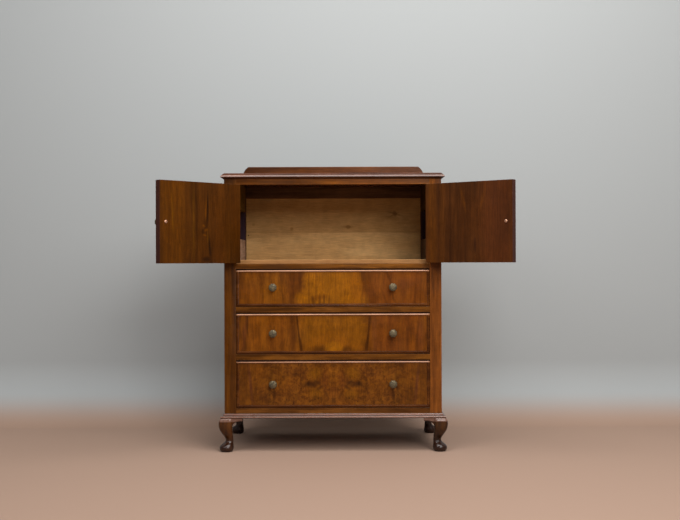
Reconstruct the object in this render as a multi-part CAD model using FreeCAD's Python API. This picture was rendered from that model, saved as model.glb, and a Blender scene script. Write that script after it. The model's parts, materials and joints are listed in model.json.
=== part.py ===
import FreeCAD, Part
import math
import os

# Tallboy: a two-door cupboard over three long drawers, on four cabriole legs.
# Millimetres. X runs to the viewer's right, Y from the front to the back, Z up.
# The origin is on the floor, under the middle of the case.
# The doors stand open, as they are photographed, and the drawers are shut.

# Case
case_width = 762.0
case_depth = 430.0
stile_width = 41.0
stile_thickness = 25.0
side_panel_thickness = 12.0
side_rail_thickness = 29.0
rear_post_depth = 45.0
back_board_thickness = 8.0
back_rebate_width = 12.0

# Heights of the stack, from the floor up
leg_height = 118.0
base_moulding_height = 15.5
bottom_rail_height = 19.0
drawer_rail_height = 19.5
cupboard_rail_height = 17.0
cupboard_floor_thickness = 14.0
door_height = 274.0
top_rail_height = 18.5
top_board_thickness = 21.0
lower_front_height = 165.0
middle_front_height = 143.0
upper_front_height = 129.5

# Gaps round the inset fronts and doors
front_gap_below = 1.5
front_gap_above = 2.5
front_gap_side = 1.25
door_gap_below = 3.0
door_gap_above = 2.0
door_gap_side = 1.25
door_meeting_gap = 2.0
running_gap = 0.3
door_stop_gap = 1.0

# Rails, runners and boards inside
rail_depth = 50.0
runner_width = 51.0
guide_height = 18.0
guide_gap = 1.25
stop_width = 40.0
stop_depth = 25.0
stop_height = 6.0
stop_place = 150.0
upper_side_rail_height = 97.5
lower_side_rail_rise = 77.0
top_back_rail_height = 43.5
top_back_rail_thickness = 20.0
cupboard_board_height = 108.0

# Top board and gallery
top_overhang = 12.0
top_ovolo_height = 12.5
top_ovolo_width = 12.0
top_ovolo_fullness_share = 0.58
top_quirk = 0.6
top_nose_height = 1.2
top_bevel_width = 11.4
gallery_height = 59.0
gallery_thickness = 18.0
gallery_base_width = 744.0
gallery_waist_width = 700.0
gallery_waist_height = 33.0
gallery_top_width = 660.0
gallery_shoulder_share = 0.6
gallery_edge_round = 2.5

# Base moulding under the case
base_projection = 14.0
base_nose_height = 6.0
base_shelf_rise = 2.5
base_ovolo = 4.5
base_strip_width = 46.0
rear_batten_width = 40.0

# Cabriole legs and their knee brackets
leg_inset = 16.0
leg_sweep = 12.6
foot_diameter = 51.3
leg_corner_chords = 6
rear_leg_shift = 20.0
knee_centre_share = 0.913
knee_width_share = 0.877
bracket_length = 36.0
bracket_tip_height = 11.5
bracket_root_height = 26.0
bracket_thickness = 24.0
bracket_setback = 3.0
bracket_edge_bevel = 4.0
bracket_arch_share = 0.35
bracket_sag_share = 0.2
# Height as a share of the leg, centre as a share of the sweep, width as a share
# of the foot, and how far the corners are rounded as a share of the half width
leg_section_shares = (
    (0.000, 0.740, 0.740, 0.96),
    (0.035, 0.766, 0.905, 0.96),
    (0.106, 0.766, 1.000, 0.96),
    (0.172, 0.714, 0.930, 0.96),
    (0.224, 0.480, 0.765, 0.96),
    (0.275, 0.120, 0.585, 0.96),
    (0.330, 0.000, 0.516, 0.94),
    (0.400, 0.110, 0.556, 0.88),
    (0.508, 0.476, 0.706, 0.74),
    (0.620, 0.865, 0.827, 0.62),
    (0.745, 1.000, 0.922, 0.52),
    (0.870, 1.000, 0.930, 0.44),
    (0.966, knee_centre_share, knee_width_share, 0.42),
    (1.000, 0.714, 0.780, 0.42),
)

# Drawer boxes
drawer_front_thickness = 20.0
drawer_side_thickness = 11.0
drawer_back_thickness = 10.0
drawer_bottom_thickness = 5.0
drawer_end_gap = 22.0
drawer_side_drop = 8.0
drawer_back_drop = 6.0
drawer_groove_rise = 10.0
drawer_groove_depth = 5.0
dovetail_length = 14.0
dovetail_flare = 2.0
dovetail_pitch = 38.0
dovetail_root_share = 0.52

# Moulded bead round every front and door
bead_width = 9.5
bead_projection = 4.0
bead_crown = 6.5
bead_slope_chords = 4
bead_slope_bow = 0.5
bead_edge_height = 0.4
bead_fall_width = 0.9
bead_lip = 1.2

# Octagonal brass knobs and their screws
knob_sides = 8
knob_across_flats = 27.0
knob_head_thickness = 7.5
knob_chamfer = 2.6
knob_panel_share = 0.62
knob_panel_rise = 1.4
knob_projection = 24.0
knob_neck_diameter = 9.0
knob_flange_diameter = 15.0
knob_flange_thickness = 2.0
knob_flare_height = 5.0
knob_spacing = 420.0
upper_knob_lift = 1.5
knob_screw_diameter = 4.0
knob_hole_gap = 0.2
knob_socket_depth = 10.0
knob_screw_head_diameter = 11.0
knob_screw_head_height = 3.0
knob_screw_head_taper = 1.5
door_knob_inset = 24.0

# Doors and their butt hinges
door_thickness = 22.0
left_door_open_angle = 135.5
right_door_open_angle = 143.0
hinge_length = 64.0
hinge_inset = 38.0
hinge_leaf_thickness = 1.5
hinge_leaf_depth = 20.0
hinge_knuckle_radius = 3.5
hinge_pin_radius = 1.5
hinge_pin_gap = 0.1
hinge_pin_proud = 4.5
hinge_pin_end = 1.2
hinge_knuckle_gap = 0.35
hinge_knuckle_count = 5

# One overrun serves every cut, and small round pieces have this many flat sides
overrun = 5.0
round_sides = 12

# Places that follow from the sizes above
half_width = case_width / 2
front_y = -case_depth / 2
back_y = case_depth / 2
opening_half = half_width - stile_width
panel_inner_half = half_width - side_panel_thickness
wall_half = panel_inner_half - side_rail_thickness
stile_back_y = front_y + stile_thickness
rail_back_y = front_y + rail_depth
back_board_y = back_y - back_board_thickness
rear_post_y = back_y - rear_post_depth
runner_inner_half = panel_inner_half - runner_width

case_bottom_z = leg_height + base_moulding_height
front_gaps = front_gap_below + front_gap_above
lower_opening_z = case_bottom_z + bottom_rail_height
lower_rail_z = lower_opening_z + lower_front_height + front_gaps
middle_opening_z = lower_rail_z + drawer_rail_height
upper_rail_z = middle_opening_z + middle_front_height + front_gaps
upper_opening_z = upper_rail_z + drawer_rail_height
cupboard_rail_z = upper_opening_z + upper_front_height + front_gaps
cupboard_floor_z = cupboard_rail_z + cupboard_rail_height
cupboard_inside_z = cupboard_floor_z + cupboard_floor_thickness
door_bottom_z = cupboard_floor_z + door_gap_below
door_top_z = door_bottom_z + door_height
top_rail_z = door_top_z + door_gap_above
top_board_z = top_rail_z + top_rail_height
top_surface_z = top_board_z + top_board_thickness

hinge_axis_x = opening_half - door_gap_side / 2
hinge_axis_y = front_y - hinge_pin_proud
door_inner_y = front_y + door_thickness
drawer_half = opening_half - front_gap_side
drawer_inner_half = drawer_half - drawer_side_thickness
drawer_front_inner_y = front_y + drawer_front_thickness
drawer_end_y = back_board_y - drawer_end_gap

# Name, height of the opening's lower edge and height of the front
drawers = (
    ("upper", upper_opening_z, upper_front_height),
    ("middle", middle_opening_z, middle_front_height),
    ("lower", lower_opening_z, lower_front_height),
)

x_direction = FreeCAD.Vector(1, 0, 0)
y_direction = FreeCAD.Vector(0, 1, 0)
z_direction = FreeCAD.Vector(0, 0, 1)
origin = FreeCAD.Vector(0, 0, 0)


# Shapes that the pieces are made from
def block(x_span, y_span, z_span):
    """A box between two values on each axis."""
    size = [high - low for low, high in (x_span, y_span, z_span)]
    corner = FreeCAD.Vector(x_span[0], y_span[0], z_span[0])
    return Part.makeBox(*size, corner)


def face_from(points):
    """A flat face round an outline. A pair of points in the list is an arc: a point on it and its end."""
    edges = []
    here = points[0]
    for step in points[1:] + [points[0]]:
        if isinstance(step, tuple):
            edges.append(Part.Arc(here, step[0], step[1]).toShape())
            here = step[1]
        else:
            if here.distanceToPoint(step) > 0:
                edges.append(Part.LineSegment(here, step).toShape())
            here = step
    return Part.Face(Part.Wire(edges))


def regular_outline(sides, radius, centre, along, across):
    """The corners of a regular polygon whose flats lie at the radius from its centre."""
    half_turn = math.pi / sides
    corner = radius / math.cos(half_turn)
    points = []
    for index in range(sides):
        angle = half_turn * (2 * index + 1)
        points.append(centre + along * (corner * math.cos(angle)) + across * (corner * math.sin(angle)))
    return points


def loft_through(outlines):
    """A solid through outlines with equally many corners and matching sides that run parallel."""
    faces = [Part.Face(Part.makePolygon(end + end[:1])) for end in (outlines[0], outlines[-1])]
    for low, high in zip(outlines, outlines[1:]):
        for index in range(len(low)):
            following = (index + 1) % len(low)
            corners = [low[index], low[following], high[following], high[index]]
            faces.append(Part.Face(Part.makePolygon(corners + corners[:1])))
    solid = Part.Solid(Part.Shell(faces))
    if solid.Volume < 0:
        solid.reverse()
    return solid


def rod_z(x, y, z_span, radius):
    """An upright rod, round but for its few flat sides."""
    ends = [FreeCAD.Vector(x, y, z) for z in z_span]
    return loft_through([regular_outline(round_sides, radius, end, x_direction, y_direction) for end in ends])


def rod_y(x, z, y_span, radii):
    """A rod that runs from the front to the back, with a radius at each end."""
    outlines = []
    for y, radius in zip(y_span, radii):
        outlines.append(regular_outline(round_sides, radius, FreeCAD.Vector(x, y, z), x_direction, z_direction))
    return loft_through(outlines)


def other_side(shape):
    """The same piece on the other side of the case."""
    return shape.mirror(origin, x_direction)


def both_sides(shape):
    """A piece and its mirror image, as two separate solids."""
    return [shape, other_side(shape)]


def moulded_slab(profile, y_back):
    """A slab whose front and side edges all have one profile, mitred at the corners.

    The profile lists (reach, height) from the underside round to the top; reach is measured outwards
    from the case. A pair of such points is an arc.
    """
    def place(point, along_front):
        reach, height = point
        if along_front:
            return FreeCAD.Vector(-half_width - base_projection - overrun, front_y - reach, height)
        return FreeCAD.Vector(half_width + reach, front_y - base_projection - overrun, height)

    def edge(along_front):
        steps = []
        for step in profile:
            if isinstance(step[0], tuple):
                steps.append((place(step[0], along_front), place(step[1], along_front)))
            else:
                steps.append(place(step, along_front))
        return steps

    last = profile[-1][1] if isinstance(profile[-1][0], tuple) else profile[-1]
    low, high = profile[0][1], last[1]
    front = edge(True)
    start_x = front[0].x
    front += [FreeCAD.Vector(start_x, y_back, high), FreeCAD.Vector(start_x, y_back, low)]
    across = face_from(front).extrude(x_direction * (-2 * start_x))
    side = edge(False)
    start_y = side[0].y
    side += [FreeCAD.Vector(0, start_y, high), FreeCAD.Vector(0, start_y, low)]
    half = face_from(side).extrude(y_direction * (y_back - start_y))
    return across.common(half.fuse(other_side(half)).removeSplitter())


# Top
def top_board_profile():
    """The moulded edge of the top: a bevelled underside, a thin nose and a flat ovolo up to the top face."""
    nose_low = top_board_z + top_board_thickness - top_quirk - top_ovolo_height - top_nose_height
    nose_high = nose_low + top_nose_height
    ovolo_reach = top_overhang - top_ovolo_width
    quirk_z = top_surface_z - top_quirk
    bulge = top_ovolo_width * top_ovolo_fullness_share
    rise = top_ovolo_height * top_ovolo_fullness_share
    return [
        (top_overhang - top_bevel_width, top_board_z),
        (top_overhang, nose_low),
        (top_overhang, nose_high),
        ((ovolo_reach + bulge, nose_high + rise), (ovolo_reach, quirk_z)),
        (ovolo_reach, top_surface_z),
    ]


def top_board():
    """The moulded top board."""
    return moulded_slab(top_board_profile(), back_y)


def back_gallery():
    """The low upstand along the back of the top, with swept ends and a softened upper edge."""
    y = back_y - gallery_thickness
    base_half = gallery_base_width / 2
    waist_half = gallery_waist_width / 2
    top_half = gallery_top_width / 2
    waist_z = top_surface_z + gallery_waist_height
    top_z = top_surface_z + gallery_height
    lower_bow = (base_half - waist_half) * (1 - math.sqrt(0.5))
    upper_bow = (waist_half - top_half) * gallery_shoulder_share
    upper_rise = (top_z - waist_z) * gallery_shoulder_share
    lower_rise = gallery_waist_height * (1 - math.sqrt(0.5))
    half = [
        FreeCAD.Vector(0, y, top_surface_z),
        FreeCAD.Vector(base_half, y, top_surface_z),
        (
            FreeCAD.Vector(waist_half + lower_bow, y, top_surface_z + lower_rise),
            FreeCAD.Vector(waist_half, y, waist_z),
        ),
        (
            FreeCAD.Vector(top_half + upper_bow, y, waist_z + upper_rise),
            FreeCAD.Vector(top_half, y, top_z),
        ),
        FreeCAD.Vector(0, y, top_z),
    ]
    right = face_from(half).extrude(y_direction * gallery_thickness)
    whole = right.fuse(other_side(right)).removeSplitter()
    return whole.common(softened_strip(base_half, y, top_z))


def softened_strip(half_length, y, top_z):
    """A long strip as thick as the gallery, with both upper edges rounded."""
    soft = gallery_edge_round
    drop = soft * (1 - math.sqrt(0.5))
    x = -half_length
    section = face_from([
        FreeCAD.Vector(x, y, top_surface_z),
        FreeCAD.Vector(x, y, top_z - soft),
        (FreeCAD.Vector(x, y + drop, top_z - drop), FreeCAD.Vector(x, y + soft, top_z)),
        FreeCAD.Vector(x, back_y - soft, top_z),
        (FreeCAD.Vector(x, back_y - drop, top_z - drop), FreeCAD.Vector(x, back_y, top_z - soft)),
        FreeCAD.Vector(x, back_y, top_surface_z),
    ])
    return section.extrude(x_direction * 2 * half_length)


# Case
def front_stile():
    """The upright at the right of the front."""
    return block((opening_half, half_width), (front_y, stile_back_y), (case_bottom_z, top_board_z))


def side_panel():
    """The outer panel of the right side."""
    return block((panel_inner_half, half_width), (stile_back_y, back_y), (case_bottom_z, top_board_z))


def rear_post():
    """The post behind the right side rails, rebated for the back boards."""
    post = block((wall_half, panel_inner_half), (rear_post_y, back_y), (case_bottom_z, top_board_z))
    rebate = block(
        (wall_half - overrun, wall_half + back_rebate_width),
        (back_board_y, back_y + overrun),
        (case_bottom_z - overrun, top_board_z + overrun),
    )
    return post.cut(rebate)


def side_rails():
    """The two rails that frame the inside of the right wall of the cupboard."""
    x_span = (wall_half, panel_inner_half)
    y_span = (stile_back_y, rear_post_y)
    upper = block(x_span, y_span, (top_board_z - upper_side_rail_height, top_board_z))
    lower = block(x_span, y_span, (cupboard_floor_z, cupboard_inside_z + lower_side_rail_rise))
    return [upper, lower]


def cross_rail(low_z, height):
    """A rail between the stiles, notched round them so that it reaches the side panels."""
    z_span = (low_z, low_z + height)
    front = block((-opening_half, opening_half), (front_y, rail_back_y), z_span)
    behind = block((-panel_inner_half, panel_inner_half), (stile_back_y, rail_back_y), z_span)
    return front.fuse(behind).removeSplitter()


def top_front_rail():
    """The shallow rail over the doors."""
    z_span = (top_rail_z, top_board_z)
    return block((-opening_half, opening_half), (front_y, stile_back_y), z_span)


def top_back_rail():
    """The rail across the back, under the top board."""
    y_span = (back_board_y - top_back_rail_thickness, back_board_y)
    z_span = (top_board_z - top_back_rail_height, top_board_z)
    return block((-wall_half, wall_half), y_span, z_span)


def cupboard_floor():
    """The board that the cupboard stands on, stopping the doors with its front edge."""
    y_span = (door_inner_y + door_stop_gap, back_board_y)
    z_span = (cupboard_floor_z, cupboard_inside_z)
    board = block((-wall_half, wall_half), y_span, z_span)
    stiles = block(
        (opening_half, half_width),
        (front_y, stile_back_y),
        (cupboard_floor_z - overrun, cupboard_inside_z + overrun),
    )
    return board.cut(stiles).cut(other_side(stiles))


def side_runner(low_z, height):
    """The strip along the right side that a drawer slides on."""
    return block((runner_inner_half, panel_inner_half), (rail_back_y, rear_post_y), (low_z, low_z + height))


def drawer_runners():
    """Three pairs of runners and, over the upper drawer, the pair that bears the cupboard floor."""
    levels = (
        (case_bottom_z, bottom_rail_height),
        (lower_rail_z, drawer_rail_height),
        (upper_rail_z, drawer_rail_height),
        (cupboard_rail_z, cupboard_rail_height),
    )
    pieces = []
    for low_z, height in levels:
        pieces += both_sides(side_runner(low_z, height))
    return pieces


def drawer_guides():
    """The strips beside the drawers that keep them straight, one pair on each pair of runners."""
    pieces = []
    for _, opening_z, _ in drawers:
        x_span = (drawer_half + guide_gap, panel_inner_half)
        y_span = (rail_back_y, rear_post_y)
        pieces += both_sides(block(x_span, y_span, (opening_z, opening_z + guide_height)))
    return pieces


def drawer_stops():
    """The small blocks on the rails that the drawer fronts come to rest against."""
    pieces = []
    low_y = drawer_front_inner_y + running_gap
    for _, opening_z, _ in drawers:
        x_span = (stop_place - stop_width / 2, stop_place + stop_width / 2)
        pieces += both_sides(block(x_span, (low_y, low_y + stop_depth), (opening_z, opening_z + stop_height)))
    return pieces


def back_board(low_z, high_z):
    """A board of the back, lying in the rebates of the rear posts."""
    half = wall_half + back_rebate_width
    return block((-half, half), (back_board_y, back_y), (low_z, high_z))


# Base
def base_profile():
    """The moulded edge of the base: a flat underside, a rounded nose, a shelf, a step and a small ovolo."""
    nose_low = leg_height
    nose_high = nose_low + base_nose_height
    nose_middle = (nose_low + nose_high) / 2
    nose_reach = base_projection - base_nose_height / 2
    ovolo_z = case_bottom_z - base_ovolo
    bow = base_ovolo * math.sqrt(0.5)
    return [
        (nose_reach, nose_low),
        ((base_projection, nose_middle), (nose_reach, nose_high)),
        (base_ovolo, nose_high + base_shelf_rise),
        (base_ovolo, ovolo_z),
        ((bow, ovolo_z + bow), (0, case_bottom_z)),
    ]


def base_mouldings():
    """The front strip and the right-hand strip of the base moulding, mitred where they meet."""
    slab = moulded_slab(base_profile(), back_y)
    reach = half_width + base_projection + overrun
    corner_y = front_y - base_projection - overrun
    inner_half = half_width - base_strip_width
    inner_y = front_y + base_strip_width
    low_z = leg_height - overrun
    height = case_bottom_z - leg_height + 2 * overrun
    front_wedge = face_from([
        FreeCAD.Vector(-reach, corner_y, low_z),
        FreeCAD.Vector(reach, corner_y, low_z),
        FreeCAD.Vector(inner_half, inner_y, low_z),
        FreeCAD.Vector(-inner_half, inner_y, low_z),
    ]).extrude(z_direction * height)
    side_wedge = face_from([
        FreeCAD.Vector(reach, corner_y, low_z),
        FreeCAD.Vector(reach, back_y + overrun, low_z),
        FreeCAD.Vector(inner_half, back_y + overrun, low_z),
        FreeCAD.Vector(inner_half, inner_y, low_z),
    ]).extrude(z_direction * height)
    return slab.common(front_wedge), slab.common(side_wedge)


def rear_base_batten():
    """The plain strip that closes the base at the back."""
    half = half_width - base_strip_width
    return block((-half, half), (back_y - rear_batten_width, back_y), (leg_height, case_bottom_z))


# Legs
def rounded_square(centre_x, centre_y, z, half, roundness):
    """The outline of a square with four round corners, each in a few chords that always point the same ways."""
    radius = half * roundness
    flat = half - radius
    centre = FreeCAD.Vector(centre_x, centre_y, z)
    along = x_direction
    corners = []
    for _ in range(4):
        across = z_direction.cross(along)
        for index in range(leg_corner_chords + 1):
            angle = math.radians(90) * index / leg_corner_chords
            out = flat + radius * math.cos(angle)
            over = flat + radius * math.sin(angle)
            corners.append(centre + along * out + across * over)
        along = across
    return corners


def cabriole_leg():
    """The front right leg: a round pad foot, a slim ankle and a knee that swells out at the corner."""
    sections = []
    for height_share, centre_share, width_share, roundness_share in leg_section_shares:
        offset = leg_sweep * centre_share - leg_inset
        half = foot_diameter * width_share / 2
        z = leg_height * height_share
        sections.append(rounded_square(half_width + offset, front_y - offset, z, half, roundness_share))
    return loft_through(sections)


def knee_bracket():
    """The shaped block beside the front right knee, along the front, with an arched lower edge."""
    root_x = half_width + leg_sweep * knee_centre_share - leg_inset
    leg_side_x = root_x - foot_diameter * knee_width_share / 2
    tip_x = leg_side_x - bracket_length
    y = front_y - base_projection + bracket_setback
    low_root_z = leg_height - bracket_root_height
    low_tip_z = leg_height - bracket_tip_height
    arch_x = leg_side_x - bracket_length * bracket_arch_share
    arch_z = low_tip_z - (bracket_root_height - bracket_tip_height) * bracket_sag_share
    outline = [
        FreeCAD.Vector(root_x, y, leg_height),
        FreeCAD.Vector(tip_x, y, leg_height),
        FreeCAD.Vector(tip_x, y, low_tip_z),
        (FreeCAD.Vector(arch_x, y, arch_z), FreeCAD.Vector(leg_side_x, y, low_root_z)),
        FreeCAD.Vector(root_x, y, low_root_z),
    ]
    bracket = face_from(outline).extrude(y_direction * bracket_thickness)
    low_front = [
        edge for edge in bracket.Edges
        if edge.BoundBox.YMax < y + bracket_edge_bevel and edge.BoundBox.ZMax < leg_height
        and edge.BoundBox.XMax > tip_x + bracket_edge_bevel
    ]
    return bracket.makeChamfer(bracket_edge_bevel, low_front)


def corner_copies(front_right, name):
    """A front right piece carried to all four corners; the rear ones stand further in."""
    inward = FreeCAD.Vector(0, -rear_leg_shift, 0)
    back_right = front_right.mirror(origin, y_direction)
    back_right.translate(inward)
    return {
        "front_right_" + name: front_right,
        "front_left_" + name: other_side(front_right),
        "back_right_" + name: back_right,
        "back_left_" + name: other_side(back_right),
    }


def legs_and_brackets():
    """The four legs and, beside each, the two knee brackets."""
    leg = cabriole_leg()
    pieces = corner_copies(leg, "leg")
    along_front = knee_bracket()
    corner = FreeCAD.Vector(half_width, front_y, 0)
    diagonal = FreeCAD.Vector(1, 1, 0)
    along_side = along_front.mirror(corner, diagonal)
    brackets = []
    for bracket in (along_front, along_side):
        brackets += corner_copies(bracket.cut(leg), "bracket").values()
    pieces["knee_brackets"] = brackets
    return pieces


# Beads, knobs and screws
def bead_outline(place):
    """The bead's section: a full slope up from the edge, in a few chords, a short fall and a low flat lip.

    place turns (distance in from the edge, height off the face) into a point.
    """
    outline = [place(0, 0)]
    for index in range(bead_slope_chords + 1):
        share = index / bead_slope_chords
        bow = bead_slope_bow * math.sin(math.pi * share)
        out = bead_edge_height + (bead_projection - bead_edge_height) * share + bow
        outline.append(place(bead_crown * share, out))
    outline.append(place(bead_crown + bead_fall_width, bead_lip))
    return outline + [place(bead_width, bead_lip), place(bead_width, 0)]


def bead_strip(x_span, z_span, edge):
    """One strip of the bead round a front, cut square, before its mitres."""
    low_x, high_x = x_span
    low_z, high_z = z_span
    places = {
        "bottom": lambda inward, out: FreeCAD.Vector(low_x, front_y - out, low_z + inward),
        "top": lambda inward, out: FreeCAD.Vector(low_x, front_y - out, high_z - inward),
        "left": lambda inward, out: FreeCAD.Vector(low_x + inward, front_y - out, low_z),
        "right": lambda inward, out: FreeCAD.Vector(high_x - inward, front_y - out, low_z),
    }
    along_x = edge in ("bottom", "top")
    run = x_direction * (high_x - low_x) if along_x else z_direction * (high_z - low_z)
    return face_from(bead_outline(places[edge])).extrude(run)


def bead_frame(x_span, z_span):
    """Four mitred strips of bead round a front."""
    low_x, high_x = x_span
    low_z, high_z = z_span
    y = front_y + overrun
    outer = [(low_x, low_z), (high_x, low_z), (high_x, high_z), (low_x, high_z)]
    inner = [
        (low_x + bead_width, low_z + bead_width),
        (high_x - bead_width, low_z + bead_width),
        (high_x - bead_width, high_z - bead_width),
        (low_x + bead_width, high_z - bead_width),
    ]
    reach = y_direction * -(bead_projection + 2 * overrun)
    strips = []
    for index, edge in enumerate(("bottom", "right", "top", "left")):
        following = (index + 1) % len(outer)
        corners = (outer[index], outer[following], inner[following], inner[index])
        mitre = face_from([FreeCAD.Vector(x, y, z) for x, z in corners])
        strips.append(bead_strip(x_span, z_span, edge).common(mitre.extrude(reach)))
    return strips


def knob_head(x, z, tip_y, head_y):
    """The octagonal head of a knob, bevelled round its front, with a raised middle."""
    bevel_y = tip_y + knob_chamfer
    panel = knob_across_flats * knob_panel_share / 2
    outlines = []
    for y, radius in (
        (head_y, knob_across_flats / 2),
        (bevel_y, knob_across_flats / 2),
        (tip_y, knob_across_flats / 2 - knob_chamfer),
        (tip_y - knob_panel_rise, panel),
    ):
        centre = FreeCAD.Vector(x, y, z)
        outlines.append(regular_outline(knob_sides, radius, centre, x_direction, z_direction))
    return loft_through(outlines)


def knob(x, z):
    """A brass knob: a turned neck on a flange, and an octagonal head."""
    tip_y = front_y - knob_projection
    head_y = tip_y + knob_head_thickness
    flare_y = head_y + knob_flare_height
    flange_y = front_y - knob_flange_thickness
    neck = knob_neck_diameter / 2
    flare = knob_across_flats / 2 - knob_chamfer
    flange = knob_flange_diameter / 2
    screw = knob_screw_diameter / 2
    whole = knob_head(x, z, tip_y, head_y).fuse([
        rod_y(x, z, (head_y, flare_y), (flare, neck)),
        rod_y(x, z, (flare_y, flange_y), (neck, neck)),
        rod_y(x, z, (flange_y, front_y), (flange, flange)),
    ])
    return whole.removeSplitter().cut(rod_y(x, z, (front_y - knob_socket_depth, front_y), (screw, screw)))


def knob_screw(x, z, inner_y):
    """The screw that holds a knob, put in from the inside, with a tapered head."""
    head = knob_screw_head_diameter / 2
    screw = knob_screw_diameter / 2
    head_span = (inner_y, inner_y + knob_screw_head_height)
    shank = rod_y(x, z, (front_y - knob_socket_depth, inner_y), (screw, screw))
    return shank.fuse(rod_y(x, z, head_span, (head, head - knob_screw_head_taper))).removeSplitter()


def knob_hole(x, z, inner_y):
    """What is drilled out of a front for the knob's screw."""
    radius = knob_screw_diameter / 2 + knob_hole_gap
    return rod_y(x, z, (front_y - overrun, inner_y + overrun), (radius, radius))


# Drawers
def drawer_levels(opening_z, front_height):
    """The heights that the pieces of a drawer share."""
    side_low = opening_z + running_gap
    front_low = opening_z + front_gap_below
    side_high = front_low + front_height - drawer_side_drop
    bottom_low = side_low + drawer_groove_rise
    return front_low, front_low + front_height, side_low, side_high, bottom_low


def drawer_bottom(opening_z, front_height):
    """The thin bottom of a drawer, which lies in grooves in the front and the sides."""
    bottom_low = drawer_levels(opening_z, front_height)[4]
    half = drawer_inner_half + drawer_groove_depth
    y_span = (drawer_front_inner_y - drawer_groove_depth, drawer_end_y)
    return block((-half, half), y_span, (bottom_low, bottom_low + drawer_bottom_thickness))


def dovetails(opening_z, front_height):
    """The tails on the front end of the right drawer side."""
    _, _, side_low, side_high, _ = drawer_levels(opening_z, front_height)
    count = max(1, round((side_high - side_low) / dovetail_pitch))
    pitch = (side_high - side_low) / count
    root = pitch * dovetail_root_share / 2
    tip = root + dovetail_flare
    x = drawer_inner_half
    tip_y = drawer_front_inner_y - dovetail_length
    tails = []
    for index in range(count):
        middle = side_low + pitch * (index + 0.5)
        outline = [
            FreeCAD.Vector(x, drawer_front_inner_y, middle - root),
            FreeCAD.Vector(x, drawer_front_inner_y, middle + root),
            FreeCAD.Vector(x, tip_y, middle + tip),
            FreeCAD.Vector(x, tip_y, middle - tip),
        ]
        tails.append(face_from(outline).extrude(x_direction * drawer_side_thickness))
    return tails


def drawer_side(opening_z, front_height):
    """The right side of a drawer, with its tails and the groove for the bottom."""
    _, _, side_low, side_high, _ = drawer_levels(opening_z, front_height)
    board = block(
        (drawer_inner_half, drawer_half),
        (drawer_front_inner_y, drawer_end_y),
        (side_low, side_high),
    )
    side = board.fuse(dovetails(opening_z, front_height)).removeSplitter()
    return side.cut(drawer_bottom(opening_z, front_height))


def knob_height(name, front_low, front_high):
    """The height of a drawer's knobs: the middle of the front, or a little above it on the upper drawer."""
    lift = upper_knob_lift if name == "upper" else 0
    return (front_low + front_high) / 2 + lift


def drawer_front(name, opening_z, front_height):
    """A drawer front with sockets for the tails, a groove for the bottom and holes for the knobs."""
    front_low, front_high, _, _, _ = drawer_levels(opening_z, front_height)
    front = block((-drawer_half, drawer_half), (front_y, drawer_front_inner_y), (front_low, front_high))
    cutters = [drawer_bottom(opening_z, front_height)]
    for tail in dovetails(opening_z, front_height):
        cutters += both_sides(tail)
    z = knob_height(name, front_low, front_high)
    cutters += both_sides(knob_hole(knob_spacing / 2, z, drawer_front_inner_y))
    for cutter in cutters:
        front = front.cut(cutter)
    return front


def drawer_back(opening_z, front_height):
    """The back of a drawer, standing on its bottom between the sides."""
    _, _, _, side_high, bottom_low = drawer_levels(opening_z, front_height)
    z_span = (bottom_low + drawer_bottom_thickness, side_high - drawer_back_drop)
    y_span = (drawer_end_y - drawer_back_thickness, drawer_end_y)
    return block((-drawer_inner_half, drawer_inner_half), y_span, z_span)


def drawer_pieces(name, opening_z, front_height):
    """All the pieces of one drawer, by node name."""
    front_low, front_high, _, _, _ = drawer_levels(opening_z, front_height)
    right_side = drawer_side(opening_z, front_height)
    z = knob_height(name, front_low, front_high)
    x = knob_spacing / 2
    knobs = both_sides(knob(x, z)) + both_sides(knob_screw(x, z, drawer_front_inner_y))
    prefix = name + "_drawer_"
    return {
        prefix + "front": drawer_front(name, opening_z, front_height),
        prefix + "bead": bead_frame((-drawer_half, drawer_half), (front_low, front_high)),
        prefix + "sides": both_sides(right_side),
        prefix + "back": drawer_back(opening_z, front_height),
        prefix + "bottom": drawer_bottom(opening_z, front_height),
        prefix + "knobs": knobs,
    }


# Hinges, all as the right-hand door has them
def hinge_spans():
    """The lower and the upper hinge, from end to end."""
    low = door_bottom_z + hinge_inset
    high = door_top_z - hinge_inset
    return (low, low + hinge_length), (high - hinge_length, high)


def knuckle_spans(z_span, first):
    """The knuckles of one leaf: every second one, starting at the first or the second."""
    pitch = (z_span[1] - z_span[0]) / hinge_knuckle_count
    spans = []
    for index in range(first, hinge_knuckle_count, 2):
        low = z_span[0] + pitch * index
        lower_gap = hinge_knuckle_gap / 2 if index > 0 else 0
        upper_gap = hinge_knuckle_gap / 2 if index < hinge_knuckle_count - 1 else 0
        spans.append((low + lower_gap, low + pitch - upper_gap))
    return spans


def hinge_leaf(z_span, plate_x_span, first):
    """A leaf whose knuckles stand on necks in front of it, clear of the other leaf's, bored for the pin."""
    plate = block(plate_x_span, (front_y, front_y + hinge_leaf_depth), z_span)
    pieces = []
    for knuckle in knuckle_spans(z_span, first):
        pieces.append(block(plate_x_span, (hinge_axis_y, front_y), knuckle))
        pieces.append(rod_z(hinge_axis_x, hinge_axis_y, knuckle, hinge_knuckle_radius))
    bore = (z_span[0] - overrun, z_span[1] + overrun)
    radius = hinge_pin_radius + hinge_pin_gap
    return plate.fuse(pieces).removeSplitter().cut(rod_z(hinge_axis_x, hinge_axis_y, bore, radius))


def case_leaf(z_span):
    """The leaf let into the stile."""
    return hinge_leaf(z_span, (opening_half, opening_half + hinge_leaf_thickness), 0)


def door_leaf(z_span):
    """The leaf let into the edge of the door."""
    edge = opening_half - door_gap_side
    return hinge_leaf(z_span, (edge - hinge_leaf_thickness, edge), 1)


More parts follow.
